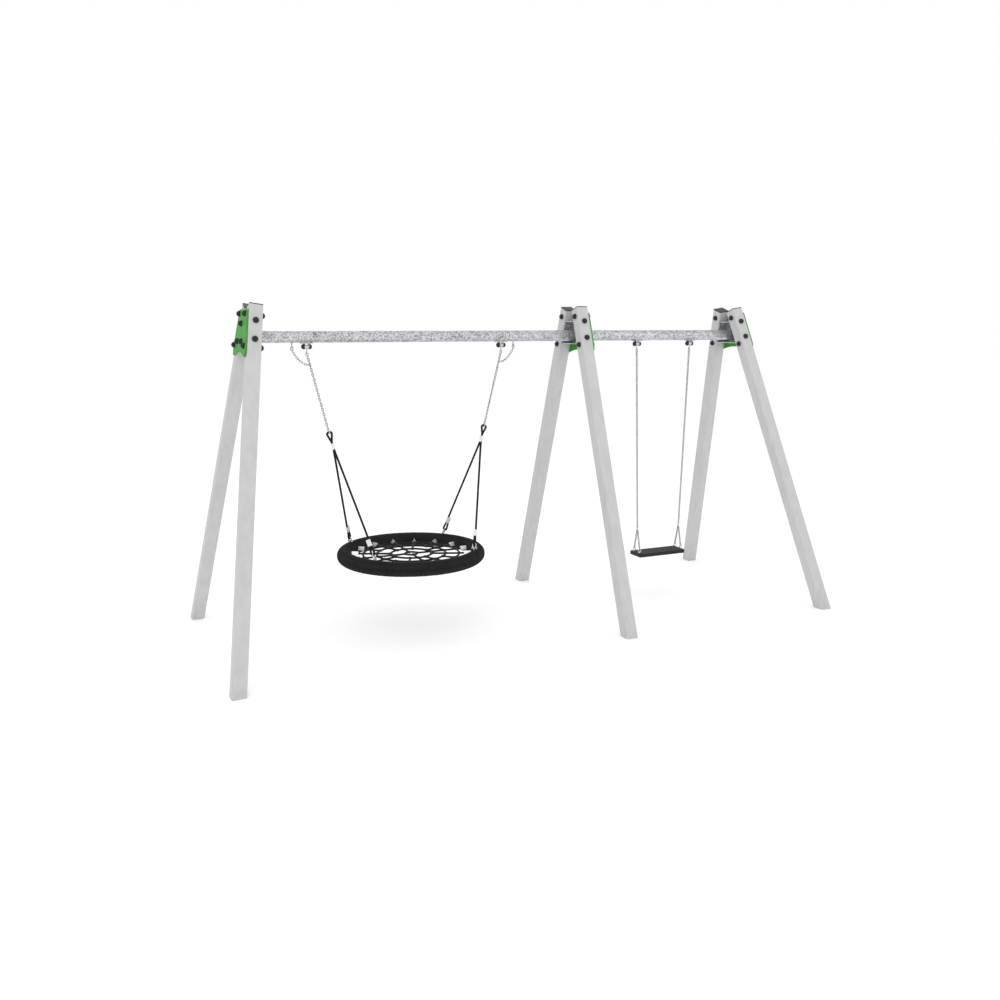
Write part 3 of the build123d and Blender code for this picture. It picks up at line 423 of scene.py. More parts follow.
@dataclass(frozen=True)
class Galvanised(Finish):
    """Hot dip galvanising: grey crystals in two sizes, each with its own tone and gloss."""

    crystal: float = 0.010

    def build(self) -> bpy.types.Material:
        """Makes the material."""
        graph = self.start()
        place = graph.place((1.0, 1.0, 1.0))
        wander = graph.add("ShaderNodeVectorMath", operation="MULTIPLY_ADD")
        drift = graph.add("ShaderNodeTexNoise")
        drift.inputs["Scale"].default_value = 0.6 / self.crystal
        graph.join(place, drift.inputs["Vector"])
        graph.join(drift.outputs["Color"], wander.inputs[0])
        wander.inputs[1].default_value = (self.crystal, self.crystal, self.crystal)
        graph.join(place, wander.inputs[2])
        large = graph.cells(wander.outputs[0], 1 / self.crystal)
        small = graph.cells(wander.outputs[0], 2.7 / self.crystal)
        tone = graph.add("ShaderNodeSeparateColor")
        graph.join(graph.mix(0.45, large, small), tone.inputs[0])
        patches = graph.noise(place, 7.0, 3)
        value = graph.math("ADD", graph.math("MULTIPLY", tone.outputs[0], 0.9), graph.math("MULTIPLY", patches, 0.15))
        graph.join(self.colour(graph, value, 0.14, 0.66), graph.shader.inputs["Base Color"])
        graph.join(graph.spread(tone.outputs[1], 0.1, 0.9, (0.3, 0.55)), graph.shader.inputs["Roughness"])
        graph.bump(value, 0.0004, 0.4, 0.0015)
        return graph.material


@dataclass(frozen=True)
class BareMetal(Finish):
    """Bright metal with fine scratches and dull patches: stainless, pressed or worn."""

    grain: float = 900.0
    dull: float = 0.42

    def build(self) -> bpy.types.Material:
        """Makes the material."""
        graph = self.start()
        scratches = graph.noise(graph.place((1.0, 1.0, 0.12)), self.grain, 4)
        patches = graph.noise(graph.place((1.0, 1.0, 1.0)), 85.0, 4)
        tone = graph.math("ADD", graph.math("MULTIPLY", scratches, 0.4), graph.math("MULTIPLY", patches, 0.6))
        graph.join(self.colour(graph, tone, 0.36, 0.62), graph.shader.inputs["Base Color"])
        rough = graph.spread(patches, 0.32, 0.68, (self.dull - 0.12, self.dull + 0.1))
        graph.join(rough, graph.shader.inputs["Roughness"])
        graph.bump(scratches, 0.0001, 0.4, 0.0008)
        return graph.material


@dataclass(frozen=True)
class SolidBoard(Finish):
    """Coloured solid plastic board: fine upright grain on its faces and edges painted paler as a highlight."""

    def build(self) -> bpy.types.Material:
        """Makes the material."""
        graph = self.start()
        grain = graph.noise(graph.place((60.0, 60.0, 6.0)), 1.0, 6)
        clouds = graph.noise(graph.place((1, 1, 1)), 9.0, 3)
        tone = graph.math("ADD", graph.math("MULTIPLY", grain, 0.55), graph.math("MULTIPLY", clouds, 0.45))
        base = self.colour(graph, tone, 0.36, 0.64)
        # paler edges: a painted highlight along the board's rounded edges
        edge = graph.math("MULTIPLY", graph.edge_wear_and_highlight(0.0025), 0.5)
        paler = tuple(0.35 + 0.65 * channel for channel in self.light)
        graph.join(graph.mix(edge, base, paler), graph.shader.inputs["Base Color"])
        graph.join(graph.spread(grain, 0.3, 0.7, (0.4, 0.58)), graph.shader.inputs["Roughness"])
        stipple = graph.cells(graph.place((1, 1, 1)), 700.0, "Distance")
        graph.bump(graph.math("ADD", stipple, grain), 0.0003, 0.35, 0.002)
        return graph.material


@dataclass(frozen=True)
class MouldedPlastic(Finish):
    """Moulded plastic or rubber: a spark-eroded grain, handling marks and softened edges painted paler as a
    highlight.
    """

    grain: float = 900.0
    depth: float = 0.00015
    gloss: tuple[float, float] = (0.42, 0.6)

    def build(self) -> bpy.types.Material:
        """Makes the material."""
        graph = self.start()
        place = graph.place((1.0, 1.0, 1.0))
        grain = graph.cells(place, self.grain, "Distance")
        clouds = graph.noise(place, 38.0, 5)
        scuffs = graph.noise(graph.place((4.0, 24.0, 24.0)), 6.0, 6)
        tone = graph.math("ADD", graph.math("MULTIPLY", clouds, 0.5), graph.math("MULTIPLY", scuffs, 0.5))
        base = self.colour(graph, tone, 0.36, 0.66)
        # paler edges: a painted highlight along the softened edges
        paler = tuple(2.2 * channel for channel in self.light)
        edge = graph.math("MULTIPLY", graph.edge_wear_and_highlight(0.0015), 0.45)
        graph.join(graph.mix(edge, base, paler), graph.shader.inputs["Base Color"])
        graph.join(graph.spread(tone, 0.35, 0.65, self.gloss), graph.shader.inputs["Roughness"])
        graph.bump(grain, self.depth, 0.6, 0.001)
        return graph.material


@dataclass(frozen=True)
class Cordage(Finish):
    """Polyester cord: slanting yarns along the piece's own map and fuzz."""

    yarn: float = 0.0028
    slant: float = 3.0

    def build(self) -> bpy.types.Material:
        """Makes the material."""
        graph = self.start()
        heights = []
        for way in (-1, 1):
            turned = graph.place((1 / self.yarn, way * self.slant, 0.0), uv=True)
            parts = graph.add("ShaderNodeSeparateXYZ")
            graph.join(turned, parts.inputs[0])
            phase = graph.math("ADD", parts.outputs["X"], parts.outputs["Y"])
            heights.append(graph.math("ABSOLUTE", graph.math("SINE", graph.math("MULTIPLY", phase, pi))))
        weave_and_groove_shade = graph.math("MAXIMUM", *heights)
        fuzz = graph.noise(graph.place((1, 1, 1)), 1500.0, 3)
        dust = graph.noise(graph.place((1, 1, 1)), 11.0, 4)
        # the weave also darkens the grooves between the yarns: painted shade
        tone = graph.math("ADD", graph.math("MULTIPLY", weave_and_groove_shade, 0.45), graph.math("MULTIPLY", dust, 0.55))
        tone = graph.math("ADD", tone, graph.math("MULTIPLY", graph.math("SUBTRACT", fuzz, 0.5), 0.5))
        graph.join(self.colour(graph, tone, 0.35, 0.95), graph.shader.inputs["Base Color"])
        graph.join(graph.spread(fuzz, 0.3, 0.7, (0.62, 0.85)), graph.shader.inputs["Roughness"])
        graph.bump(graph.math("ADD", weave_and_groove_shade, fuzz), 0.0004, 0.7)
        return graph.material


FINISHES: dict[str, Finish] = {
    "leg_paint": PowderCoat("grey_powder_coat", (0.465, 0.465, 0.47), (0.515, 0.515, 0.515), specular=0.35),
    "leg_cap_plastic": MouldedPlastic(
        "grey_cap_plastic", (0.03, 0.031, 0.033), (0.052, 0.053, 0.055), specular=0.25
    ),
    "green_board": SolidBoard("green_board", (0.036, 0.235, 0.024), (0.06, 0.32, 0.04), specular=0.12),
    "galvanised_steel": Galvanised("galvanised_steel", (0.095, 0.1, 0.112), (0.64, 0.65, 0.675), 0.7),
    "stainless_steel": BareMetal("stainless_steel", (0.45, 0.45, 0.45), (0.74, 0.74, 0.73), 1.0, dull=0.3),
    "chain_steel": BareMetal("galvanised_chain", (0.13, 0.13, 0.13), (0.62, 0.62, 0.6), 0.9, dull=0.34),
    "black_plastic": MouldedPlastic(
        "black_plastic", (0.008, 0.008, 0.008), (0.018, 0.018, 0.018), specular=0.3
    ),
    "black_rope": Cordage("black_polyester", (0.004, 0.004, 0.0045), (0.024, 0.024, 0.026), 0.0, 0.12),
    "pressed_aluminium": BareMetal(
        "pressed_aluminium", (0.56, 0.56, 0.55), (0.84, 0.84, 0.83), 0.6, dull=0.38
    ),
    "padding_foam": MouldedPlastic("hidden_foam", (0.04, 0.04, 0.04), (0.07, 0.07, 0.07)),
    "seat_rubber": MouldedPlastic(
        "seat_rubber",
        (0.009, 0.009, 0.0095),
        (0.026, 0.026, 0.026),
        specular=0.25,
        grain=420.0,
        depth=0.0005,
        gloss=(0.55, 0.75),
    ),
}


@dataclass
class Wardrobe:
    """Every finish's material, made once, and the pieces dressed in them."""

    materials: dict[str, bpy.types.Material] = field(default_factory=dict)

    def material(self, slot: str) -> bpy.types.Material:
        """The material of a slot."""
        if slot not in self.materials:
            self.materials[slot] = FINISHES[slot].build()
        return self.materials[slot]

    def dress_frame(self) -> None:
        """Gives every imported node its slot's material."""
        for part in frame["record"]["subparts"]:
            node = frame["nodes"][part["node"]]
            for holder in node.material_slots:
                holder.material = self.material(part["material_slot"])
            LOG.info("dressed %s in %s", part["node"], part["material_slot"])

    def dress(self, made: bpy.types.Object, slot: str, body: Body, *nodes: str) -> None:
        """Finishes a new piece: its material, the body it rides on and the nodes it stands for."""
        outward(made)
        made.data.materials.append(self.material(slot))
        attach(made, body.value)
        if nodes:
            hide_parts(*nodes)
        LOG.info("%s: %d faces on %s", made.name, len(made.data.polygons), body.value)


# --- chains ---------------------------------------------------------------------------------------


@dataclass
class Chain:
    """Steel links between two points, that turn by a quarter each."""

    wire: float = 0.006
    room: float = 0.008
    pitch: float = 0.0196
    play: float = 0.00025
    rows: int = 24
    columns: int = 8

    def link(self, pitch: float, wire: float, room: float) -> np.ndarray:
        """A link in its own x and z: a round wire carried along a stadium.

        The stadium's point at parameter t is on two half circles of radius half the width, joined
        by straights; each half takes its arc's angle from t, and the straights fill the rest.

        Args:
            pitch: from joint to joint.
            wire: the wire's diameter.
            room: the width inside the link.

        Returns:
            (rows, columns, 3) points.
        """
        bend = (room + wire) / 2
        straight = pitch + self.play + wire - 2 * bend
        angle = np.linspace(0, 2 * pi, self.rows, endpoint=False) + pi / self.rows
        rise = np.where(np.sin(angle) > 0, straight / 2, -straight / 2)
        middle = np.stack([bend * np.cos(angle), 0 * angle, bend * np.sin(angle) + rise], -1)
        out = np.stack([np.cos(angle), 0 * angle, np.sin(angle)], -1)
        around = np.linspace(0, 2 * pi, self.columns, endpoint=False)[None, :, None]
        ring = np.cos(around) * out[:, None] + np.sin(around) * ACROSS
        return middle[:, None] + wire / 2 * ring

    def placed(self, joints: np.ndarray, shape: np.ndarray, widths: np.ndarray) -> np.ndarray:
        """Copies of a link between joints, all at once.

        Args:
            joints: (n + 1, 3) places where links meet.
            shape: (rows, columns, 3) link about the origin.
            widths: (n, 3) direction of each link's width.

        Returns:
            (n, rows, columns, 3) points.
        """
        way = unit(np.diff(joints, axis=0))
        across = unit(widths - way * np.sum(widths * way, -1, keepdims=True))
        axes = np.stack([across, np.cross(way, across), way], 1)
        middle = (joints[1:] + joints[:-1]) / 2
        return np.einsum("rcj,njk->nrck", shape, axes) + middle[:, None, None]

    def straight(self, start: np.ndarray, end: np.ndarray, first: np.ndarray, second: np.ndarray) -> np.ndarray:
        """An even number of links from start to end, their widths along first and second in turn."""
        length = np.linalg.norm(end - start)
        count = 2 * max(1, round(length / (2 * self.pitch)))
        joints = start + (end - start) * np.linspace(0, 1, count + 1)[:, None]
        widths = np.where((np.arange(count) % 2 == 0)[:, None], first, second)
        return self.placed(joints, self.link(length / count, self.wire, self.room), widths)


@dataclass
class HungChain:
    """A swing's chain from a hanger's eye: one large lead link, then the small ones."""

    eye_wire: float = 0.008
    eye_drop: float = 0.052
    lead: Chain = field(default_factory=lambda: Chain(wire=0.007, room=0.010, pitch=0.022))
    small: Chain = field(default_factory=Chain)

    def links(self, hanger: np.ndarray, end: np.ndarray) -> list[np.ndarray]:
        """The links from a hanger's pivot down to an end joint.

        Args:
            hanger: the pivot's middle.
            end: the last joint.

        Returns:
            One grid for each link.
        """
        eye = hanger - UP * self.eye_drop
        way = unit(end - eye)
        first = eye - way * (self.eye_wire + self.lead.play) / 2
        second = first + way * self.lead.pitch
        flat = np.cross(way, ACROSS)
        lead = self.lead.link(self.lead.pitch, self.lead.wire, self.lead.room)
        top = self.lead.placed(np.stack([first, second]), lead, flat[None])
        return [*top, *self.small.straight(second, end, ACROSS, flat)]


# --- nest -----------------------------------------------------------------------------------------


@dataclass
class NestRopes:
    """The two black ropes of the nest: each has a top eye, two legs and two lower eyes."""

    wardrobe: Wardrobe
    diameter: float = 0.0172
    shoulder: float = 0.02356
    lower_shoulder: float = 0.01587
    strand: float = 0.0084
    top_eye: float = 0.088
    eye: float = 0.072
    sleeve: float = 0.052
    lead_in: float = 0.042
    beyond: float = 0.096
    hanger: float = 0.8035
    eye_drop: float = 0.052
    lug_angle: float = radians(43)
    lug_rise: float = 0.014
    eye_height: float = 0.027375
    step: float = 0.0028
    columns: int = 24

    def __post_init__(self) -> None:
        """Reads the ring and the pivots from the frame."""
        low, high = node_box("ring_wrap")
        self.centre = (low + high) / 2
        self.tube = high[2] - low[2]
        self.radius = (high[0] - low[0] - self.tube) / 2
        self.pivot = joint_place("nest_swing_joint")
        self.rock = joint_place("nest_rock_joint")

    def pull(self, side: int) -> tuple[np.ndarray, np.ndarray]:
        """A side's top eye apex and the unit vector down towards the ring."""
        eye = self.pivot + np.array([side * self.hanger, 0, -self.eye_drop])
        ring = self.centre + np.array([side * self.radius * cos(self.lug_angle), 0, 0])
        way = unit(ring - eye)
        return eye + way * (eye[2] - self.rock[2]) / -way[2], way

    def top_exit(self, side: int, depth: int) -> np.ndarray:
        """Where a leg leaves the top sleeve."""
        apex, way = self.pull(side)
        return apex + way * (self.top_eye + self.sleeve) + ACROSS * depth * self.strand

    def lug(self, side: int, depth: int) -> tuple[np.ndarray, np.ndarray, np.ndarray]:
        """A lug's pin place, the unit vector up its rope and the one around the ring."""
        out = np.array([side * cos(self.lug_angle), depth * sin(self.lug_angle), 0])
        root = self.centre + out * self.radius
        way = unit(self.top_exit(side, depth) - root)
        tangent = np.cross(UP, out)
        square_on = tangent - way * tangent.dot(way)
        reach = (self.tube / 2 + self.lug_rise) / np.linalg.norm(way - tangent * tangent.dot(way))
        return root + way * reach, way, unit(square_on)

    def lower_eye(self, side: int, depth: int) -> list[np.ndarray]:
        """The route round a lower eye, from its tail's end to where its leg goes on alone."""
        pin, way, across = self.lug(side, depth)
        apex = pin + way * self.eye_height
        meet = apex + way * self.eye
        near = apex + way * self.lead_in
        shoulder = self.lower_shoulder
        slope = shoulder + (self.strand - shoulder) * self.lead_in / self.eye
        top = meet + way * self.sleeve
        return [
            top - across * self.strand - way * self.diameter / 2,
            meet - across * self.strand,
            near - across * slope,
            apex - across * shoulder,
            apex + across * shoulder,
            near + across * slope,
            meet + across * self.strand,
            top + across * self.strand,
            top + way * self.beyond + across * self.strand * 0.9,
        ]

    def route(self, side: int) -> list[np.ndarray]:
        """A rope's whole route, from one tail's end to the other's."""
        apex, way = self.pull(side)
        flat = np.cross(way, ACROSS)
        meet = apex + way * self.top_eye
        near = apex + way * self.lead_in
        middle = ACROSS * self.strand
        slope = self.shoulder * (1 - self.lead_in / self.top_eye)
        lean = middle * self.lead_in / self.top_eye
        front, rear = self.top_exit(side, -1), self.top_exit(side, 1)
        down = [unit(self.lower_eye(side, depth)[-1] - self.top_exit(side, depth)) for depth in (-1, 1)]
        eye = [
            front,
            meet - middle,
            near - flat * slope - lean,
            apex - flat * self.shoulder,
            apex + flat * self.shoulder,
            near + flat * slope + lean,
            meet + middle,
            rear,
        ]
        before = self.lower_eye(side, -1) + [front + down[0] * self.beyond]
        after = [rear + down[1] * self.beyond] + self.lower_eye(side, 1)[::-1]
        return before + eye + after

    def build(self) -> None:
        """Makes both ropes."""
        for name, side in SIDES:
            line, along = even_line(smooth_route(self.route(side)), self.step)
            radius = laid_radius(along, self.columns, self.diameter / 2, 6, 0.12)
            made = tube_object(f"laid_rope_{name}", [swept(line, ACROSS, radius)], False)
            self.wardrobe.dress(made, "black_rope", Body.BASKET, f"rope_{name}")


@dataclass
class NestRing:
    """The nest's ring: black cord wound turn by turn round its padding."""

    wardrobe: Wardrobe
    turns: int = 330
    rows_per_turn: int = 7
    columns: int = 36
    groove: float = 0.005
    wander: float = 0.0007

    def build(self) -> None:
        """Makes the wound cover.

        It is a torus: at angle p round the ring and q round the tube, the tube's radius is full in
        the middle of each turn of cord and lower between two turns, by the square root of one
        minus the square of the place across the turn. Each turn leans, because the winding goes
        on by one pitch for each time round the tube, and each stands up by its own small amount.
        """
        low, high = node_box("ring_wrap")
        centre = (low + high) / 2
        tube = (high[2] - low[2]) / 2
        ring = (high[0] - low[0]) / 2 - tube
        rows = self.turns * self.rows_per_turn
        p = np.linspace(0, 2 * pi, rows, endpoint=False)[:, None]
        q = np.linspace(0, 2 * pi, self.columns, endpoint=False)[None, :]
        winding = self.turns * p / (2 * pi) + q / (2 * pi)
        across = 2 * (winding % 1) - 1
        stands = np.random.default_rng(SEED).uniform(-1, 0, self.turns + 1)
        stands[-1] = stands[0]
        own = stands[np.floor(winding).astype(int) % self.turns] * self.wander
        radius = tube - self.groove * (1 - np.sqrt(1 - across**2)) + own
        out = ring + radius * np.cos(q)
        grid = np.stack([out * np.cos(p), out * np.sin(p), radius * np.sin(q)], -1) + centre
        made = tube_object("ring_winding", [grid], True)
        self.wardrobe.dress(made, "black_rope", Body.BASKET, "ring_wrap")


@dataclass(frozen=True)
class NetRing:
    """One ring of the net: its radius and which anchors of each quarter it is tied in line with."""

    radius: float
    ties: tuple[int, ...]


@dataclass
class NestNet:
    """The flat net in the ring: laid rope between moulded knots, in four rings."""

    wardrobe: Wardrobe
    rings: tuple[NetRing, ...] = (
        NetRing(0.390, (0, 1, 2, 3)),
        NetRing(0.280, (0, 1, 2, 3)),
        NetRing(0.166, (0, 1, 3)),
        NetRing(0.050, (0,)),
    )
    anchors: int = 16
    drop: float = 0.0015
    rope: float = 0.0165
    knot: float = 0.030
    collar: float = 0.0112
    bore: float = 0.002
    sag: float = 0.01
    lay: float = 0.06
    strand_rows: int = 22
    columns: int = 14

    def __post_init__(self) -> None:
        """Reads the ring from the frame."""
        low, high = node_box("ring_wrap")
        self.centre = (low + high) / 2
        self.inner = (high[0] - low[0]) / 2 - (high[2] - low[2])

    def tied(self, ring: int) -> list[int]:
        """The anchors that a ring has its knots in line with, all the way round."""
        quarter = self.anchors // 4
        return [quarter * turn + tie for turn in range(4) for tie in self.rings[ring].ties]

    def places(self, radius: float, anchors: np.ndarray) -> np.ndarray:
        """Points of the net at a radius, in line with anchors or between them."""
        angle = 2 * pi * np.asarray(anchors, float) / self.anchors
        flat = np.stack([np.cos(angle), np.sin(angle), 0 * angle], -1) * radius
        return self.centre + flat - UP * self.drop

    def lines(self) -> list[np.ndarray]:
        """The middle of every length of rope between two knots.

        A length round a ring follows the ring, and a spoke sags by a sine arch, a hundredth of its
        length.
        """
        share = np.linspace(0, 1, self.strand_rows)
        lines = []
        for number, ring in enumerate(self.rings):
            tied = self.tied(number)
            for start, end in zip(tied, tied[1:] + [tied[0] + self.anchors]):
                lines.append(self.places(ring.radius, start + (end - start) * share))
            if number == 0:
                continue
            outer = self.places(self.rings[number - 1].radius, tied)
            for start, end in zip(outer, self.places(ring.radius, tied)):
                sag = np.sin(pi * share)[:, None] * np.linalg.norm(end - start) * self.sag
                lines.append(start + (end - start) * share[:, None] - UP * sag)
        return lines

    def strand(self, line: np.ndarray, phase: float) -> np.ndarray:
        """A length of rope with a collar at each knot.

        The radius flares towards both ends by the eighth power of the distance from the middle.
        """
        share = np.linspace(0, 1, self.strand_rows)
        along = share * np.linalg.norm(line[-1] - line[0]) + phase
        radius = laid_radius(along, self.columns, self.rope / 2, 4, self.lay)
        flare = (np.abs(2 * share - 1) ** 8)[:, None]
        return swept(line, UP, radius * (1 - flare) + self.collar * flare)

    def anchor(self, number: int) -> np.ndarray:
        """A rope from inside the ring's padding, through its clamp and in to its knot."""
        share = np.linspace(0, 1, self.strand_rows)[:, None]
        start = self.places(self.inner + self.bore, number)
        line = start + (self.places(self.rings[0].radius, number) - start) * share
        along = share[:, 0] * np.linalg.norm(line[-1] - line[0])
        return swept(line, UP, laid_radius(along, self.columns, self.rope / 2, 4, self.lay))

    def ball(self, place: np.ndarray) -> np.ndarray:
        """A moulded knot: a ball flattened by a fifth, with closed poles."""
        q = np.linspace(0.02, pi - 0.02, 10)[:, None]
        p = np.linspace(0, 2 * pi, 16, endpoint=False)[None, :]
        spread = np.stack([np.sin(q) * np.cos(p), np.sin(q) * np.sin(p), 0.8 * np.cos(q) + 0 * p], -1)
        return place + spread * self.knot / 2

    def build(self) -> None:
        """Makes the ropes and the knots."""
        ropes = [self.anchor(number) for number in range(self.anchors)]
        ropes += [self.strand(line, 0.011 * i) for i, line in enumerate(self.lines())]
        made = tube_object("net_rope_lengths", ropes, False)
        self.wardrobe.dress(made, "black_rope", Body.BASKET, "net_ropes")
        balls = []
        for number, ring in enumerate(self.rings):
            balls += [self.ball(place) for place in self.places(ring.radius, self.tied(number))]
        made = tube_object("net_moulded_knots", balls, False)
        self.wardrobe.dress(made, "black_plastic", Body.BASKET, "net_knots")


@dataclass
class NestChains:
    """The nest's two hanging chains."""

    wardrobe: Wardrobe
    ropes: NestRopes
    hung: HungChain = field(default_factory=HungChain)
    above: float = 0.015325

    def build(self) -> None:
        """Makes both chains."""
        for name, side in SIDES:
            apex, way = self.ropes.pull(side)
            hanger = self.ropes.pivot + np.array([side * self.ropes.hanger, 0, 0])
            made = tube_object(f"links_nest_{name}", self.hung.links(hanger, apex - way * self.above), True)
            self.wardrobe.dress(made, "chain_steel", Body.NEST_SWING, f"chain_nest_{name}")


# --- flat seat ------------------------------------------------------------------------------------


@dataclass
class FlatSeatChains:
    """The flat seat's long chains and the short spread ones over the seat."""

    wardrobe: Wardrobe
    hung: HungChain = field(default_factory=HungChain)
    hanger: float = 0.276
    eye_x: float = 0.222
    eye_y: float = 0.045
    eye_wire: float = 0.008
    apex_room: float = 0.016
    apex_pitch: float = 0.022

    def build(self) -> None:
        """Makes the long chains on the swinging body and the short ones on the seat."""
        pivot, rock = joint_place("seat_swing_joint"), joint_place("seat_rock_joint")
        eye_top = node_box("seat_eyes")[1][2] - self.eye_wire / 2
        small = self.hung.small
        for name, side in SIDES:
            hanger = pivot + np.array([side * self.hanger, 0, 0])
            centre = rock + np.array([side * self.eye_x, 0, 0])
            way = unit(centre - (hanger - UP * self.hung.eye_drop))
            end = centre + way * ((self.apex_room - small.play) / 2 - self.apex_pitch)
            made = tube_object(f"links_seat_{name}", self.hung.links(hanger, end), True)
            self.wardrobe.dress(made, "chain_steel", Body.SEAT_SWING, f"chain_seat_{name}")
            short = []
            for depth in (1, -1):
                short += list(self.spread(centre, depth, eye_top))
            made = tube_object(f"links_spread_{name}", short, True)
            self.wardrobe.dress(made, "chain_steel", Body.SEAT, f"chain_spread_{name}")

    def spread(self, centre: np.ndarray, depth: int, eye_top: float) -> np.ndarray:
        """The links of one short chain from an apex link's bend to a seat eye.

        Args:
            centre: the middle of the apex link's bend.
            depth: 1 at the rear and -1 at the front.
            eye_top: how high the wire's middle is at the top of the seat's eyes.

        Returns:
            One grid for each link.
        """
        small = self.hung.small
        reach = (self.apex_room - small.wire - small.play) / 2
        beside = (small.wire + small.play) / 2
        first = centre + np.array([0, depth * beside, -((reach**2 - beside**2) ** 0.5)])
        last = np.array([centre[0], depth * self.eye_y, eye_top])
        way = unit(last - first)
        start = first + way * (small.wire + small.play) / 2
        end = last + way * (self.eye_wire + small.play) / 2
        return small.straight(start, end, np.array([1.0, 0, 0]), ACROSS)


@dataclass
class MouldedSeat:
    """The flat seat: a rubber slab with round edges and a shallow ribbed dish between its ends."""

    wardrobe: Wardrobe
    corner: float = 0.014
    edge: float = 0.004
    end_block: float = 0.064
    slope: float = 0.006
    dish: float = 0.0016
    rib: float = 0.0006
    rib_pitch: float = 0.0115
    row_step: float = 0.0018

    def section(self) -> np.ndarray:
        """A round-edged rectangle's outline, once round from the right.

        Returns:
            (n, 4): where a point's corner centre is, as shares of the half width and the half
            height, and the unit vector from that centre to the point.
        """
        parts = []
        for turn, count in ((0, 5), (1, 17), (2, 5), (3, 17)):
            c, s = round(cos(turn * pi / 2)), round(sin(turn * pi / 2))
            across = np.linspace(-1, 1, count)
            parts.append(np.stack([c - s * across, s + c * across, c + 0 * across, s + 0 * across], -1))
            angle = (turn + np.linspace(0, 1, 7)[1:-1]) * pi / 2
            centre = np.tile([c - s, s + c], (len(angle), 1))
            parts.append(np.hstack([centre, np.stack([np.cos(angle), np.sin(angle)], -1)]))
        return np.vstack(parts)

    def build(self) -> None:
        """Makes the seat.

        Sections across X pull in towards both ends by the sagittas of the corner's and the edge's
        radii. Between the end blocks the top sinks by the dish, less a wave of ribs across it.
        """
        low, high = node_box("seat_pad")
        middle, half = (low + high) / 2, (high - low) / 2
        end = self.corner * (1 - np.cos(np.linspace(0, pi / 2, 12)))
        inner = np.linspace(self.corner, half[0], int((half[0] - self.corner) / self.row_step))
        depth = np.concatenate([end, inner[1:]])
        x = np.concatenate([depth - half[0], (half[0] - depth)[::-1][1:]])
        depth = half[0] - np.abs(x)
        width, height = (
            size - radius + np.sqrt(radius**2 - np.clip(radius - depth, 0, None) ** 2)
            for size, radius in ((half[1], self.corner), (half[2], self.edge))
        )
        core_y, core_z, out_y, out_z = self.section().T
        y = core_y * (width[:, None] - self.edge) + self.edge * out_y
        z = core_z * (height[:, None] - self.edge) + self.edge * out_z
        into = np.clip((depth - self.end_block) / self.slope, 0, 1)
        sink = into * (self.dish - self.rib * (1 + np.cos(2 * pi * x / self.rib_pitch)))
        z = z - sink[:, None] * (1 - core_y**8) * (out_z > 0.99)
        grid = np.stack([x[:, None] + 0 * y, y, z], -1) + middle
        made = tube_object("moulded_seat", [grid], False)
        self.wardrobe.dress(made, "seat_rubber", Body.SEAT, "seat_pad")


# --- studio ---------------------------------------------------------------------------------------


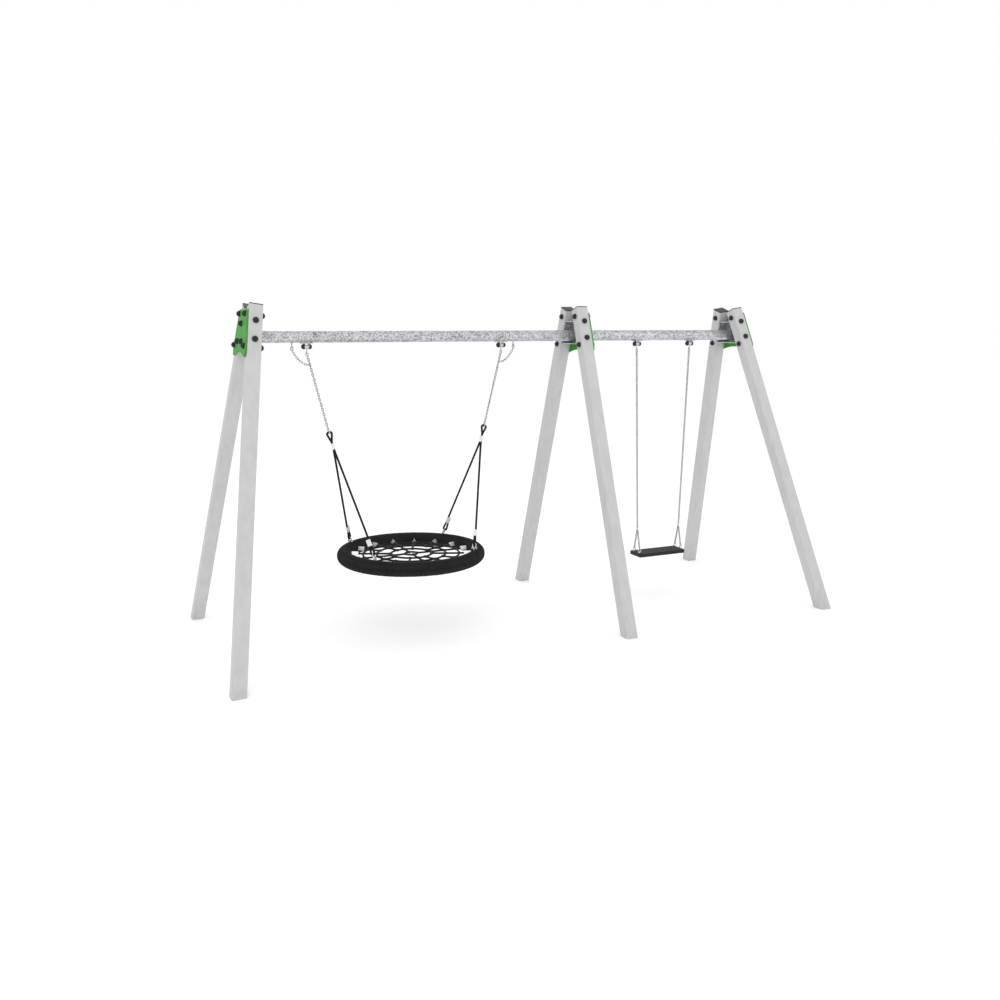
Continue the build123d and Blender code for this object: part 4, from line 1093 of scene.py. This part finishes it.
@dataclass
class Studio:
    """The pale floor, the soft light and the camera."""

    camera_place: Colour = (-3.4965, -7.3328, 2.4437)
    yaw: float = radians(24.5686)
    pitch: float = radians(10.1454)
    lens: float = 35.0
    floor: float = 60.0

    def build(self) -> None:
        """Sets up the camera, floor and lights."""
        self.camera()
        self.ground()
        self.sky()
        self.lamp("key", (-5.5, -7.5, 7.5), 5.0, 170.0)
        self.lamp("fill", (7.0, -6.0, 5.0), 6.0, 60.0)
        self.lamp("back", (1.0, 8.0, 6.0), 5.0, 70.0)
        LOG.info("studio ready")

    def camera(self) -> None:
        """Places the camera."""
        data = bpy.data.cameras.new("camera")
        data.lens = self.lens
        data.clip_end = 200.0
        made = bpy.data.objects.new("camera", data)
        made.location = self.camera_place
        made.rotation_euler = (pi / 2 - self.pitch, 0.0, -self.yaw)
        bpy.context.scene.collection.objects.link(made)
        bpy.context.scene.camera = made

    def ground(self) -> None:
        """Lays the floor just under the feet."""
        half, low = self.floor / 2, -0.0005
        mesh = bpy.data.meshes.new("floor")
        corners = [(-half, -half, low), (half, -half, low), (half, half, low), (-half, half, low)]
        mesh.from_pydata(corners, [], [(0, 1, 2, 3)])
        made = bpy.data.objects.new("floor", mesh)
        bpy.context.scene.collection.objects.link(made)
        graph = Graph("floor")
        tone = graph.ramp(graph.noise(graph.place((1, 1, 1)), 0.7), ((0.3, (0.965, 0.965, 0.965)), (0.7, (0.985, 0.985, 0.985))))
        graph.join(tone, graph.shader.inputs["Base Color"])
        graph.shader.inputs["Roughness"].default_value = 0.9
        graph.shader.inputs["Specular IOR Level"].default_value = 0.0
        graph.shader.inputs["Emission Color"].default_value = (1.0, 1.0, 1.0, 1.0)
        graph.shader.inputs["Emission Strength"].default_value = 0.05
        mesh.materials.append(graph.material)

    def sky(self) -> None:
        """A white surround that gives most of the light."""
        world = bpy.data.worlds.new("studio")
        world.use_nodes = True
        background = world.node_tree.nodes["Background"]
        background.inputs["Color"].default_value = (1.0, 1.0, 1.0, 1.0)
        background.inputs["Strength"].default_value = 1.0
        bpy.context.scene.world = world
        bpy.context.scene.view_settings.view_transform = "Standard"

    def lamp(self, name: str, place: Colour, size: float, power: float) -> None:
        """A soft square lamp that faces the middle of the set.

        Args:
            name: the lamp's name.
            place: where it stands.
            size: its side.
            power: its power in watts.
        """
        data = bpy.data.lights.new(name, "AREA")
        data.shape = "SQUARE"
        data.size = size
        data.energy = power
        made = bpy.data.objects.new(name, data)
        made.location = place
        aim = UP - np.array(place)
        flat = float(np.hypot(aim[0], aim[1]))
        made.rotation_euler = (float(np.arctan2(flat, -aim[2])), 0.0, float(np.arctan2(aim[1], aim[0])) - pi / 2)
        bpy.context.scene.collection.objects.link(made)


def main() -> None:
    """Builds the pieces in order, from the studio to the seat."""
    logging.basicConfig(level=logging.INFO, format="%(message)s")
    Studio().build()
    wardrobe = Wardrobe()
    wardrobe.dress_frame()
    ropes = NestRopes(wardrobe)
    ropes.build()
    NestRing(wardrobe).build()
    NestNet(wardrobe).build()
    NestChains(wardrobe, ropes).build()
    FlatSeatChains(wardrobe).build()
    MouldedSeat(wardrobe).build()


if __name__ == "__main__":
    main()
